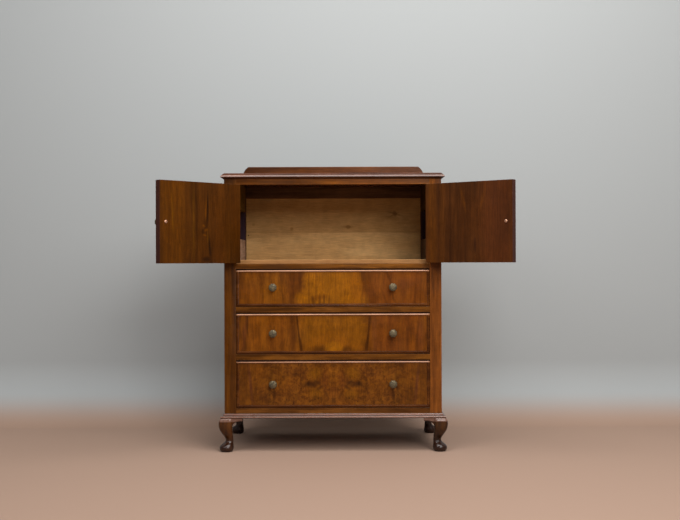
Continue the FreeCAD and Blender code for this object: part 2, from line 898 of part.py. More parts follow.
def hinge_pin(z_span):
    """The plain pin of a hinge, which stands out a little at both ends."""
    length_span = (z_span[0] - hinge_pin_end, z_span[1] + hinge_pin_end)
    return rod_z(hinge_axis_x, hinge_axis_y, length_span, hinge_pin_radius)


def leaf_recess(z_span, x_span):
    """What is let into the wood for a leaf."""
    return block(x_span, (front_y - overrun, front_y + hinge_leaf_depth), z_span)


# Doors, all as the right-hand door, shut
def door_spans():
    """The width and the height of the right door when it is shut."""
    return (door_meeting_gap / 2, opening_half - door_gap_side), (door_bottom_z, door_top_z)


def door_knob_place():
    """The centre of the right door's knob."""
    x_span, z_span = door_spans()
    return x_span[0] + door_knob_inset, (z_span[0] + z_span[1]) / 2


def door_panel():
    """The flat panel of the door, let in for the leaves and drilled for the knob."""
    x_span, z_span = door_spans()
    panel = block(x_span, (front_y, door_inner_y), z_span)
    edge = x_span[1]
    for hinge in hinge_spans():
        panel = panel.cut(leaf_recess(hinge, (edge - hinge_leaf_thickness, edge + overrun)))
    return panel.cut(knob_hole(*door_knob_place(), door_inner_y))


def door_bead():
    """The bead round the door, cut away where the knuckles lie in front of it."""
    x_span, z_span = door_spans()
    strips = bead_frame(x_span, z_span)
    reach = hinge_knuckle_radius + hinge_knuckle_gap
    for low, high in hinge_spans():
        room = (low - hinge_pin_end - hinge_knuckle_gap, high + hinge_pin_end + hinge_knuckle_gap)
        notch = block((hinge_axis_x - reach, opening_half), (hinge_axis_y - reach, front_y), room)
        strips = [strip.cut(notch) for strip in strips]
    return strips


def door_pieces(side):
    """All the pieces that swing with one door, by node name, turned to where the door stands open."""
    x, z = door_knob_place()
    pieces = {
        "door_panel": [door_panel()],
        "door_bead": door_bead(),
        "door_knob": [knob(x, z)],
        "door_knob_screw": [knob_screw(x, z, door_inner_y)],
        "door_hinge_leaves": [door_leaf(span) for span in hinge_spans()],
    }
    angle = right_door_open_angle if side == "right" else left_door_open_angle
    axis = FreeCAD.Vector(hinge_axis_x, hinge_axis_y, 0)
    turned = {}
    for name, solids in pieces.items():
        for solid in solids:
            solid.rotate(axis, z_direction, angle)
        turned[side + "_" + name] = solids if side == "right" else [other_side(solid) for solid in solids]
    return turned


def stile_pieces():
    """The stiles, let in for the hinges, and the leaves and pins that stay with the case."""
    stile = front_stile()
    for hinge in hinge_spans():
        stile = stile.cut(leaf_recess(hinge, (opening_half - overrun, opening_half + hinge_leaf_thickness)))
    leaves = [case_leaf(span) for span in hinge_spans()]
    pins = []
    for span in hinge_spans():
        pins += both_sides(hinge_pin(span))
    return {
        "right_front_stile": stile,
        "left_front_stile": other_side(stile),
        "right_case_hinge_leaves": leaves,
        "left_case_hinge_leaves": [other_side(leaf) for leaf in leaves],
        "hinge_pins": pins,
    }


def case_pieces():
    """All the fixed pieces above the legs, by node name."""
    front_moulding, side_moulding = base_mouldings()
    board_joint_z = cupboard_inside_z + cupboard_board_height
    rails = []
    for rail in side_rails():
        rails += both_sides(rail)
    pieces = {
        "top_board": top_board(),
        "back_gallery": back_gallery(),
        "top_front_rail": top_front_rail(),
        "top_back_rail": top_back_rail(),
        "right_side_panel": side_panel(),
        "left_side_panel": other_side(side_panel()),
        "rear_posts": both_sides(rear_post()),
        "side_rails": rails,
        "cupboard_floor": cupboard_floor(),
        "cupboard_rail": cross_rail(cupboard_rail_z, cupboard_rail_height),
        "upper_drawer_rail": cross_rail(upper_rail_z, drawer_rail_height),
        "lower_drawer_rail": cross_rail(lower_rail_z, drawer_rail_height),
        "bottom_rail": cross_rail(case_bottom_z, bottom_rail_height),
        "drawer_runners": drawer_runners(),
        "drawer_guides": drawer_guides(),
        "drawer_stops": drawer_stops(),
        "cupboard_back_boards": [
            back_board(board_joint_z, top_board_z),
            back_board(cupboard_rail_z, board_joint_z),
        ],
        "drawer_back_panel": back_board(case_bottom_z, cupboard_rail_z),
        "front_base_moulding": front_moulding,
        "right_base_moulding": side_moulding,
        "left_base_moulding": other_side(side_moulding),
        "rear_base_batten": rear_base_batten(),
    }
    pieces.update(stile_pieces())
    return pieces


def export(name, solids):
    """Writes one node, and stops if any solid in it is not sound."""
    if not isinstance(solids, list):
        solids = [solids]
    parts = []
    for shape in solids:
        parts += shape.Solids
    for solid in parts:
        if not solid.isValid() or solid.Volume <= 0:
            raise ValueError(name + " is not a sound solid")
    shape = parts[0] if len(parts) == 1 else Part.makeCompound(parts)
    shape.exportStep("parts/" + name + ".step")
    print(name, len(parts), round(shape.Volume))


def main():
    """Builds every piece and writes it to parts/."""
    os.makedirs("parts", exist_ok=True)
    pieces = case_pieces()
    pieces.update(legs_and_brackets())
    for side in ("left", "right"):
        pieces.update(door_pieces(side))
    for drawer in drawers:
        pieces.update(drawer_pieces(*drawer))
    for name, solids in pieces.items():
        export(name, solids)
    print(len(pieces), "nodes")


main()
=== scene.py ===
"""A walnut tallboy: a two-door cupboard over three long drawers, on cabriole legs.

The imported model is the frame. Each sub-assembly is a class that builds its pieces over that frame and
dresses them. Metres, X to the viewer's right, Y from the front to the back, Z up. Colours are screen
values of red, green and blue, 0 to 255, and marks are in millimetres.
"""
import json
import logging
import math
from dataclasses import dataclass, field
from enum import Enum

import bmesh
import bpy
from mathutils import Matrix, Vector


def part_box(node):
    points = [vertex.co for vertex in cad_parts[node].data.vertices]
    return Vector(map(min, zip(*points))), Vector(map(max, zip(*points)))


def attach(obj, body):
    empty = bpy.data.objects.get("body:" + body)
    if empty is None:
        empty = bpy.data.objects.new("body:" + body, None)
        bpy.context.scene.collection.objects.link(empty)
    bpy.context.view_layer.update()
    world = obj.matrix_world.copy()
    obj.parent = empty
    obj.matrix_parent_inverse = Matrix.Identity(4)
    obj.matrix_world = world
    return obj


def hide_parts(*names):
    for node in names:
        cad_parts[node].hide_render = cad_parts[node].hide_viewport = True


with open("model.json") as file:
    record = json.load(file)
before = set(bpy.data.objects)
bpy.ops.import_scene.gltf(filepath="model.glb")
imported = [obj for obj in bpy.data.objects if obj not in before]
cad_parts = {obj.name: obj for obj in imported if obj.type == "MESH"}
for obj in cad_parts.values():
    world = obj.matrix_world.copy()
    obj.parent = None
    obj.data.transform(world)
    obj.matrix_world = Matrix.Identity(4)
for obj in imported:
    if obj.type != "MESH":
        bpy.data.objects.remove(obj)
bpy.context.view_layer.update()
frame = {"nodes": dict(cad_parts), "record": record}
logger = logging.getLogger("tallboy")

Colour = tuple[int, int, int]
Point = tuple[float, float, float]
Stain = tuple[float, float, float]
Box = tuple[Vector, Vector]
Socket = bpy.types.NodeSocket
Node = bpy.types.Node
Tree = bpy.types.NodeTree
Material = bpy.types.Material
Piece = bpy.types.Object
Shape = bmesh.types.BMesh
Edge = bmesh.types.BMEdge
Placed = list[tuple[Shape, Matrix]]

# Sizes that the frame was built with
FRONT_Y = -0.215
BACK_Y = 0.215
OPENING_HALF = 0.340
PANEL_INNER_HALF = 0.369
DOOR_BACK_Y = -0.193
DOOR_BOTTOM = 0.661
DOOR_TOP = 0.935
DOOR_THICKNESS = 0.022
HINGE_AXIS_X = 0.339375
HINGE_AXIS_Y = -0.2195
BOARD_JOINT_Z = 0.780
POST_RECESS_Y = 0.1706

# Values that the finishes share
MM = 0.001
PLAIN: Stain = (1.0, 1.0, 1.0)
DUST: Colour = (196, 184, 170)
COAT_ROUGHNESS = 0.16
RAW_ROUGHNESS = 0.95
RUB_REACH = 0.0035
RELIEF_DEPTH = 0.0002
MERGE_DISTANCE = 0.000004
LEVEL_MARGIN = 0.0001
BURR_CENTRE: Point = (0.03, 0.0, 0.234)
BURR_HALF_SIZE: Point = (0.32, 1.0, 0.16)
BURR_SHARE = 0.68
EYES_SHARE = 0.8
RIM_ANGLE = math.radians(60)
FLAT_ANGLE = math.radians(0.4)


def paint(*screen: int) -> tuple[float, ...]:
    """Turn screen values into the linear colour that a shader takes, opaque."""
    shares = [value / 255 for value in screen]
    return (*(share / 12.92 if share <= 0.04045 else ((share + 0.055) / 1.055) ** 2.4 for share in shares), 1.0)


class Grain(Enum):
    """The direction in which a board's grain runs."""

    ACROSS = "X"
    DEEP = "Y"
    UP = "Z"


class Side(Enum):
    """The side of the case on which a piece hangs."""

    LEFT = -1
    RIGHT = 1

    @property
    def word(self) -> str:
        """The side's name, as the nodes have it."""
        return self.name.lower()


class Tone(Enum):
    """The tones that the figure of a veneer or board is made of."""

    GOLD = (150, 92, 6)
    AMBER = (136, 74, 4)
    RED = (112, 56, 14)
    BROWN = (88, 44, 5)
    DARK = (56, 27, 3)
    PURPLE = (84, 42, 22)
    KNOT = (36, 18, 6)


GOLD, AMBER, RED, BROWN, DARK, PURPLE, KNOT = Tone


@dataclass(frozen=True)
class Mark:
    """One soft oval of the figure, with its half sizes; a positive slant leans its top to the left."""

    x: float
    z: float
    half_width: float
    half_height: float
    slant: float
    tone: Tone
    strength: float
    edge: float


def figure(*rows: tuple) -> tuple[Mark, ...]:
    """Make the marks of a figure, each laid over those before it."""
    return tuple(Mark(*row) for row in rows)


class Graph:
    """Adds nodes to one node tree and joins them."""

    def __init__(self, tree: Tree) -> None:
        """Keep the tree that the nodes go into."""
        self.tree = tree

    def feed(self, node: Node, feeds: dict[int | str, object]) -> None:
        """Link outputs to a node's inputs, or set plain values on them.

        Args:
            node: The node.
            feeds: What goes into its inputs, by name or number. A colour may be three screen values.
        """
        for key, value in feeds.items():
            socket = node.inputs[key]
            if isinstance(value, Socket):
                self.tree.links.new(value, socket)
            elif socket.type == "RGBA" and len(value) == 3:
                socket.default_value = paint(*value)
            else:
                socket.default_value = value

    def node(self, kind: str, feeds: dict[int | str, object] | tuple = (), **settings: object) -> Node:
        """Add one shader node.

        Args:
            kind: Its type, without the words that all shader nodes start with.
            feeds: What goes into its inputs, by name or number, or in their order.
            **settings: Properties to set on it.

        Returns:
            The new node.
        """
        made = self.tree.nodes.new("ShaderNode" + kind)
        for key, value in settings.items():
            setattr(made, key, value)
        self.feed(made, feeds if isinstance(feeds, dict) else dict(enumerate(feeds)))
        return made

    def math(self, operation: str, *values: object, clamp: bool = False) -> Socket:
        """Add a Math node and return its result."""
        return self.node("Math", values, operation=operation, use_clamp=clamp).outputs[0]

    def times(self, *values: object, clamp: bool = False) -> Socket:
        """Multiply two numbers."""
        return self.math("MULTIPLY", *values, clamp=clamp)

    def plus(self, *values: object, clamp: bool = False) -> Socket:
        """Add two numbers."""
        return self.math("ADD", *values, clamp=clamp)

    def minus(self, *values: object) -> Socket:
        """Take the second number from the first."""
        return self.math("SUBTRACT", *values)

    def vector(self, operation: str, *values: object) -> Socket:
        """Add a Vector Math node and return its vector."""
        return self.node("VectorMath", values, operation=operation).outputs["Vector"]

    def axes(self, value: object) -> tuple[Socket, ...]:
        """Split a vector into its three numbers."""
        return tuple(self.node("SeparateXYZ", (value,)).outputs)

    def joined(self, *values: object) -> Socket:
        """Join three numbers into a vector."""
        return self.node("CombineXYZ", values).outputs[0]

    def noise(self, place: object, scale: object, detail: float = 2.0, roughness: float = 0.5,
              distortion: float = 0.0, output: str = "Fac") -> Socket:
        """Add a Noise Texture, scaled in cells per metre, and return one of its outputs."""
        feeds = {"Vector": place, "Scale": scale, "Detail": detail, "Roughness": roughness, "Distortion": distortion}
        return self.node("TexNoise", feeds).outputs[output]

    def drifted(self, place: object, reach: object, *noise: float) -> Socket:
        """Shift coordinates by a noise with the values given, by up to half the reach each way."""
        feeds = {0: self.vector("SUBTRACT", self.noise(place, *noise, output="Color"), (0.5, 0.5, 0.5)), "Scale": reach}
        return self.vector("ADD", place, self.node("VectorMath", feeds, operation="SCALE").outputs["Vector"])

    def oval(self, away: object, half_size: object) -> Socket:
        """Measure how far a place is from an oval's middle, 1 at its rim, whatever its Y."""
        shares = self.vector("DIVIDE", self.vector("MULTIPLY", away, (1.0, 0.0, 1.0)), half_size)
        return self.node("VectorMath", (shares,), operation="LENGTH").outputs["Value"]

    def ranged(self, value: object, low: object, high: object, first: object = 0.0, last: object = 1.0) -> Socket:
        """Map a number smoothly from low to high to what lies between the first and the last result."""
        feeds = (value, low, high, first, last)
        return self.node("MapRange", feeds, interpolation_type="SMOOTHSTEP").outputs["Result"]

    def mixed(self, factor: object, first: object, second: object, how: str = "MIX") -> Socket:
        """Mix two colours, by the share of the second."""
        return self.node("Mix", {0: factor, 6: first, 7: second}, data_type="RGBA", blend_type=how).outputs[2]

    def ramp(self, value: object, stops: tuple[tuple[float, Colour], ...]) -> Socket:
        """Add a Color Ramp.

        Args:
            value: The number that picks the colour.
            stops: Places from 0 to 1, each with its colour.

        Returns:
            The colour.
        """
        made = self.node("ValToRGB", (value,))
        elements = made.color_ramp.elements
        while len(elements) < len(stops):
            elements.new(0.5)
        for element, (place, colour) in zip(elements, stops):
            element.position, element.color = place, paint(*colour)
        return made.outputs["Color"]

    def bump(self, height: object, strength: float) -> Socket:
        """Add a Bump node and return its normal."""
        feeds = {"Height": height, "Distance": RELIEF_DEPTH, "Strength": strength}
        return self.node("Bump", feeds).outputs["Normal"]

    def group(self, name: str, **values: object) -> Node:
        """Place a shared group, with its inputs by name."""
        return self.node("Group", values, node_tree=bpy.data.node_groups[name])


@dataclass(frozen=True)
class Tint:
    """A colour on the part of a board that lies between two planes, or nearer the middle than one.

    A raw part has no polish.
    """

    axis: int
    low: float
    high: float
    colour: Colour
    strength: float
    absolute: bool = False
    soft: float = 0.0006
    raw: bool = False

    def share(self, graph: Graph, place: object) -> Socket:
        """Give the share of the tint in the colour.

        Args:
            graph: The material's graph.
            place: The piece's coordinates.

        Returns:
            The share, from 0 to the tint's strength.
        """
        value = graph.axes(place)[self.axis]
        if self.absolute:
            value = graph.math("ABSOLUTE", value)
        above = graph.ranged(value, self.low - self.soft, self.low + self.soft)
        below = graph.ranged(value, self.high - self.soft, self.high + self.soft, 1.0, 0.0)
        return graph.times(graph.times(above, below), self.strength)


class Effects:
    """The shared effects, each built once as a node group that gives numbers."""

    @staticmethod
    def start(name: str, vectors: str, numbers: str, gives: str) -> tuple[Graph, dict[str, Socket], Node]:
        """Start a group.

        Args:
            name: The group's name.
            vectors: The names of its vector inputs, with spaces between them.
            numbers: The names of its number inputs.
            gives: The names of its outputs.

        Returns:
            Its graph, its input values by name, and the node that takes its outputs.
        """
        tree = bpy.data.node_groups.new(name, "ShaderNodeTree")
        for keys, way, kind in ((vectors, "INPUT", "Vector"), (numbers, "INPUT", "Float"), (gives, "OUTPUT", "Float")):
            for key in keys.split():
                tree.interface.new_socket(name=key, in_out=way, socket_type="NodeSocket" + kind)
        sockets = tree.nodes.new("NodeGroupInput").outputs
        return Graph(tree), {socket.name: socket for socket in sockets}, tree.nodes.new("NodeGroupOutput")

    def grain(self) -> None:
        """Build a board's grain along X: its broad figure, its fine fibre, its open pores and its streaks."""
        graph, take, give = self.start("board_grain", "Vector", "Bands Stretch Wander", "Figure Fibre Pores Streaks")
        x, y, z = graph.axes(graph.drifted(take["Vector"], take["Wander"], 3.1))
        drawn = graph.joined(graph.math("DIVIDE", x, take["Stretch"]), y, z)
        fine = graph.joined(graph.times(x, 0.05), y, z)
        long = graph.joined(graph.times(x, 0.04), y, z)
        graph.feed(give, {
            "Figure": graph.ranged(graph.noise(drawn, take["Bands"], 4.0, 0.55, 0.5), 0.28, 0.72),
            "Fibre": graph.noise(fine, 520.0, 3.0, 0.6),
            "Pores": graph.ranged(graph.noise(fine, 1500.0, 1.0), 0.60, 0.74),
            "Streaks": graph.ranged(graph.noise(long, 190.0, 2.0, 0.55), 0.32, 0.68),
        })

    def mark(self) -> None:
        """Build one soft mark of the figure, broken up by the fibre."""
        graph, take, give = self.start("figure_mark", "Vector Centre Half_Size", "Slant Edge Strength Ragged Fibre",
                                       "Mask")
        away = graph.vector("SUBTRACT", take["Vector"], take["Centre"])
        turned = graph.node("VectorRotate", {"Vector": away, "Angle": take["Slant"]}, rotation_type="Y_AXIS")
        ragged = graph.minus(graph.noise(take["Vector"], 60.0, 3.0, 0.6), 0.5)
        size = graph.oval(turned.outputs["Vector"], take["Half_Size"])
        size = graph.plus(size, graph.times(ragged, take["Ragged"]))
        mask = graph.ranged(size, graph.minus(1.0, take["Edge"]), graph.plus(1.0, take["Edge"]), 1.0, 0.0)
        mask = graph.times(mask, graph.ranged(take["Fibre"], 0.3, 0.7, 0.72, 1.0))
        graph.feed(give, {"Mask": graph.times(mask, take["Strength"], clamp=True)})

    def wear(self) -> None:
        """Build the rubbed edges of a board from the distance to the sides of its box."""
        graph, take, give = self.start("rubbed_edges", "Vector Low High", "Reach", "Mask")
        above = graph.vector("SUBTRACT", take["Vector"], take["Low"])
        below = graph.vector("SUBTRACT", take["High"], take["Vector"])
        ragged = graph.noise(take["Vector"], 90.0, 3.0, 0.65)
        reach = graph.times(take["Reach"], graph.ranged(ragged, 0.3, 0.7, 0.35, 1.4))
        near = graph.axes(graph.vector("MINIMUM", above, below))
        sides = [graph.ranged(axis, 0.0, reach, 1.0, 0.0) for axis in near]
        pairs = [graph.times(sides[i], sides[(i + 1) % 3]) for i in range(3)]
        graph.feed(give, {"Mask": graph.math("MAXIMUM", graph.math("MAXIMUM", pairs[0], pairs[1]), pairs[2])})

    def dust(self) -> None:
        """Build the dust that settles on what faces up."""
        graph, take, give = self.start("settled_dust", "Vector", "", "Mask")
        up = graph.axes(graph.node("NewGeometry").outputs["Normal"])[2]
        patches = graph.ranged(graph.noise(take["Vector"], 22.0, 4.0, 0.6), 0.3, 0.7, 0.35, 1.0)
        graph.feed(give, {"Mask": graph.times(graph.ranged(up, 0.6, 0.98), patches)})

    def burr(self) -> None:
        """Build burr veneer: its curls, its small dark eyes and where it lies round a centre."""
        graph, take, give = self.start("burr_curls", "Vector Centre Half_Size", "", "Curl Eyes Reach")
        place = graph.drifted(take["Vector"], 0.04, 16.0, 3.0, 0.6)
        cells = graph.node("TexVoronoi", {"Vector": place, "Scale": 62.0}, feature="F1")
        chosen = graph.ranged(graph.noise(take["Vector"], 21.0, 1.0), 0.55, 0.62)
        away = graph.vector("SUBTRACT", take["Vector"], take["Centre"])
        graph.feed(give, {
            "Curl": graph.ranged(graph.noise(place, 52.0, 6.0, 0.66, 0.7), 0.30, 0.70),
            "Eyes": graph.times(graph.ranged(cells.outputs["Distance"], 0.10, 0.24, 1.0, 0.0), chosen),
            "Reach": graph.ranged(graph.oval(away, take["Half_Size"]), 0.3, 1.3, 1.0, 0.0),
        })

    def build(self) -> None:
        """Build every group."""
        for effect in (self.grain, self.mark, self.wear, self.dust, self.burr):
            effect()


@dataclass(frozen=True)
class Timber:
    """One kind of board: its colours, its grain and its polish."""

    name: str
    dark: Colour
    middle: Colour
    light: Colour
    bands: float = 38.0
    stretch: float = 9.0
    wander: float = 0.02
    roughness: float = 0.28
    polish: float = 0.05
    pores: float = 0.5
    relief: float = 0.16
    shine: float = 0.1
    rubbed: Colour = (150, 92, 46)
    rub: float = 0.2
    dust: float = 0.12
    streaks: float = 0.14
    mottle: float = 0.08


@dataclass(frozen=True)
class Metal:
    """One kind of metal: its bright and its dulled colour, and how far it has dulled."""

    name: str
    bright: Colour
    dull: Colour
    roughness: float
    dulled: float


WALNUT_TOP = Timber("top_walnut", (72, 38, 22), (92, 51, 29), (112, 66, 38), shine=0.25, polish=0.16, dust=0.03)
WALNUT_RAIL = Timber("rail_walnut", (72, 38, 8), (100, 56, 14), (128, 76, 24))
WALNUT_GALLERY = Timber("top_walnut", (72, 38, 8), (100, 56, 14), (128, 76, 24))
WALNUT_STILE = Timber("stile_walnut", (66, 35, 6), (88, 48, 9), (108, 62, 14), stretch=14.0, rub=0.08)
WALNUT_SIDE = Timber("side_walnut", (72, 40, 9), (92, 52, 14), (114, 67, 21), bands=22.0)
WALNUT_BASE = Timber("base_walnut", (62, 32, 14), (90, 50, 24), (114, 68, 34), polish=0.45, shine=0.35, relief=0.05)
WALNUT_LEG = Timber("leg_walnut", (46, 23, 8), (74, 40, 13), (96, 54, 18), roughness=0.22, polish=0.4, shine=0.15,
                    relief=0.03, pores=0.2, stretch=6.0, dust=0.0)
WALNUT_BEAD = Timber("bead_walnut", (60, 28, 7), (80, 41, 10), (98, 54, 16), polish=0.06, shine=0.15, relief=0.04,
                     pores=0.2, rub=0.0, dust=0.0)
DOOR_VENEER = Timber("door_veneer", (66, 34, 5), (80, 42, 6), (94, 51, 9), bands=26.0, stretch=16.0, wander=0.03)
DRAWER_VENEER = Timber("drawer_veneer", (92, 50, 7), (112, 62, 9), (130, 76, 13), bands=30.0, stretch=8.0,
                       wander=0.05, streaks=0.12, mottle=0.16)
PINE = Timber("inside_pine", (194, 148, 92), (207, 161, 103), (217, 173, 115), bands=18.0, roughness=0.72,
              polish=0.0, pores=0.15, relief=0.3, rub=0.0, dust=0.1, streaks=0.03)
FRAME_WOOD = Timber("frame_softwood", (58, 38, 24), (84, 57, 38), (108, 76, 52), bands=30.0, roughness=0.75,
                    polish=0.0, pores=0.3, relief=0.4, dust=0.15)
SIDE_RAIL_WOOD = Timber("frame_softwood", (156, 122, 98), (178, 144, 120), (196, 162, 138), bands=30.0,
                        roughness=0.7, polish=0.0, pores=0.3, relief=0.3, dust=0.1)
BOX_WOOD = Timber("drawer_box_wood", (132, 98, 62), (160, 122, 82), (184, 148, 106), bands=34.0, roughness=0.6,
                  polish=0.0, pores=0.3, relief=0.3, rubbed=(120, 86, 52), rub=0.3)
PLY = Timber("thin_ply", (152, 114, 74), (168, 130, 88), (182, 145, 102), bands=14.0, stretch=22.0, roughness=0.66,
             polish=0.0, pores=0.3, relief=0.25, rub=0.0)
KNOB_BRASS = Metal("knob_brass", (128, 114, 86), (62, 55, 42), 0.40, 0.62)
HINGE_BRASS = Metal("hinge_brass", (188, 150, 84), (112, 88, 50), 0.38, 0.45)
SCREW_BRASS = Metal("hinge_brass", (206, 160, 132), (140, 104, 84), 0.42, 0.45)


@dataclass(frozen=True)
class Corner:
    """How far edges are rounded, and in how many faces."""

    width: float = 0.0007
    segments: int = 2


THIN_CORNER = Corner(0.0003, 1)
WIDE_CORNER = Corner(0.0015, 3)
SHARP_ANGLE = math.radians(38)


@dataclass(frozen=True)
class Finish:
    """How one board is finished.

    A door's boards have what turns their coordinates to where it is shut, and matched veneer has the X
    about which it is mirrored. The stain is the share of red, green and blue that it lets through; on
    some boards it also paints light and shade, lightening lit ones and darkening shaded ones.
    """

    kind: Timber
    grain: Grain
    corner: Corner = Corner()
    marks: tuple[Mark, ...] = ()
    tints: tuple[Tint, ...] = ()
    stain: Stain = PLAIN
    closed: Matrix | None = None
    mirror: float | None = None


class Surface(Graph):
    """One material in the making: its shader, the piece's coordinates and the colour so far."""

    def __init__(self, name: str) -> None:
        """Make a material with an empty tree, a Principled shader and an output.

        Args:
            name: The material's name.
        """
        self.material = bpy.data.materials.new(name)
        self.material.use_nodes = True
        self.material.node_tree.nodes.clear()
        super().__init__(self.material.node_tree)
        self.shader = self.node("BsdfPrincipled")
        self.output = self.node("OutputMaterial", {"Surface": self.shader.outputs["BSDF"]})
        self.place = self.node("TexCoord").outputs["Object"]

    def lay(self, share: object, colour: object, how: str = "MIX") -> None:
        """Mix a colour over the colour so far."""
        self.colour = self.mixed(share, self.colour, colour, how)


class BoardSurface(Surface):
    """The surface of one board in the making."""

    def __init__(self, finish: Finish, box: Box | None, number: int) -> None:
        """Turn an open door's coordinates to where it is shut, and mirror those of matched veneer.

        Args:
            finish: The board's finish.
            box: Its lowest and highest corners, where its edges are rubbed.
            number: Its number, so that no two boards share their grain.
        """
        super().__init__(finish.kind.name)
        self.finish, self.kind, self.box, self.number = finish, finish.kind, box, number
        self.coat, self.smooth = finish.kind.polish, finish.kind.roughness
        self.own_place = self.place
        if finish.closed is not None:
            turn = {"Location": finish.closed.to_translation(), "Rotation": finish.closed.to_euler()}
            self.place = self.node("Mapping", {"Vector": self.place, **turn}).outputs["Vector"]
        self.matched = self.place
        if finish.mirror is not None:
            x, y, z = self.axes(self.place)
            self.matched = self.joined(self.math("ABSOLUTE", self.minus(x, finish.mirror)), y, z)

    def grow(self) -> None:
        """Lay the broad figure of the grain, which runs along the board."""
        kind = self.kind
        x, y, z = self.axes(self.matched)
        orders = {Grain.ACROSS: (x, y, z), Grain.DEEP: (y, x, z), Grain.UP: (z, y, x)}
        apart = (self.number * 1.37, self.number * 0.71, self.number * 0.53)
        along = self.vector("ADD", self.joined(*orders[self.finish.grain]), apart)
        broad, self.fibre, self.pores, self.streaks = self.group(
            "board_grain", Vector=along, Bands=kind.bands, Stretch=kind.stretch, Wander=kind.wander).outputs
        self.colour = self.ramp(broad, ((0.0, kind.dark), (0.5, kind.middle), (1.0, kind.light)))

    def curl(self) -> None:
        """Lay the curls and the eyes of burr veneer."""
        curl, eyes, reach = self.group("burr_curls", Vector=self.matched, Centre=BURR_CENTRE,
                                       Half_Size=BURR_HALF_SIZE).outputs
        curls = self.ramp(curl, ((0.0, Tone.DARK.value), (0.25, (96, 50, 10)), (0.5, (124, 70, 14)),
                                 (0.8, (144, 84, 16)), (1.0, (160, 98, 22))))
        self.lay(self.times(reach, BURR_SHARE), curls)
        self.lay(self.times(self.times(eyes, reach), EYES_SHARE), Tone.KNOT.value)

    def mark(self, mark: Mark) -> None:
        """Lay one mark of the figure.

        Args:
            mark: The mark.
        """
        mask = self.group(
            "figure_mark", Vector=self.matched, Fibre=self.fibre, Centre=(mark.x * MM, 0.0, mark.z * MM),
            Half_Size=(mark.half_width * MM, 1.0, mark.half_height * MM), Slant=math.radians(mark.slant),
            Edge=mark.edge, Strength=mark.strength, Ragged=0.5 * mark.edge + 0.15).outputs["Mask"]
        self.lay(mask, mark.tone.value)

    def tint(self) -> None:
        """Lay the tints, and take the polish off those that are raw."""
        kind = self.kind
        for tint in self.finish.tints:
            share = tint.share(self, self.place)
            self.lay(share, tint.colour)
            if tint.raw:
                self.coat = self.times(self.minus(1.0, share), kind.polish)
                self.smooth = self.math("MULTIPLY_ADD", share, RAW_ROUGHNESS - kind.roughness, kind.roughness)

    def age(self) -> None:
        """Lay the fibre, the streaks, clouds, the pores, rubbed edges and dust."""
        kind, mottle = self.kind, self.kind.mottle
        shade = self.times(self.ranged(self.fibre, 0.25, 0.75, 0.82, 1.12),
                           self.ranged(self.streaks, 0.0, 1.0, 1.0 - kind.streaks, 1.0 + 0.5 * kind.streaks))
        clouds = self.ranged(self.noise(self.place, 24.0, 3.0, 0.6), 0.3, 0.7, 1.0 - mottle, 1.0 + mottle)
        shade = self.times(shade, clouds)
        self.lay(1.0, self.joined(shade, shade, shade), "MULTIPLY")
        self.lay(self.times(self.pores, kind.pores), Tone.DARK.value)
        if self.box is not None and kind.rub > 0:
            low, high = (tuple(corner) for corner in self.box)
            wear = self.group("rubbed_edges", Vector=self.own_place, Low=low, High=high, Reach=RUB_REACH)
            self.lay(self.times(wear.outputs["Mask"], kind.rub), kind.rubbed)
        dust = self.group("settled_dust", Vector=self.place).outputs["Mask"]
        self.lay(self.times(dust, kind.dust), DUST)

    def build(self) -> Material:
        """Make the whole surface.

        Returns:
            The material.
        """
        self.grow()
        if self.finish.mirror is not None:
            self.curl()
        for mark in self.finish.marks:
            self.mark(mark)
        self.lay(1.0, (*self.finish.stain, 1.0), "MULTIPLY")
        self.tint()
        self.age()
        hands = self.ranged(self.noise(self.place, 9.0, 3.0, 0.6), 0.3, 0.7, -0.06, 0.08)
        self.feed(self.shader, {
            "Base Color": self.colour,
            "Roughness": self.plus(hands, self.math("MULTIPLY_ADD", self.pores, 0.2, self.smooth), clamp=True),
            "Normal": self.bump(self.minus(self.times(self.fibre, 0.4), self.pores), self.kind.relief),
            "Specular IOR Level": self.kind.shine,
            "Coat Weight": self.coat,
            "Coat Roughness": COAT_ROUGHNESS,
        })
        return self.material


def metal(kind: Metal) -> Material:
    """Make the finish of a metal piece.

    Args:
        kind: The metal.

    Returns:
        The material.
    """
    surface = Surface(kind.name)
    patches = surface.noise(surface.place, 140.0, 4.0, 0.6, 0.4)
    fine = surface.noise(surface.place, 900.0, 2.0)
    dulled = surface.ranged(patches, kind.dulled - 0.32, kind.dulled + 0.14, 1.0, 0.0)
    rough = surface.math("MULTIPLY_ADD", dulled, 0.22, kind.roughness)
    surface.feed(surface.shader, {
        "Base Color": surface.mixed(dulled, kind.bright, kind.dull),
        "Roughness": surface.math("MULTIPLY_ADD", fine, 0.08, rough),
        "Metallic": surface.ranged(dulled, 0.0, 1.0, 0.9, 0.55),
        "Normal": surface.bump(surface.plus(patches, fine), 0.25),
    })
    return surface.material


def linked(name: str, data: bpy.types.ID) -> Piece:
    """Make an object from its data and link it to the scene.

    Args:
        name: The object's name.
        data: Its mesh, lamp or camera.

    Returns:
        The object.
    """
    made = bpy.data.objects.new(name, data)
    bpy.context.scene.collection.objects.link(made)
    return made


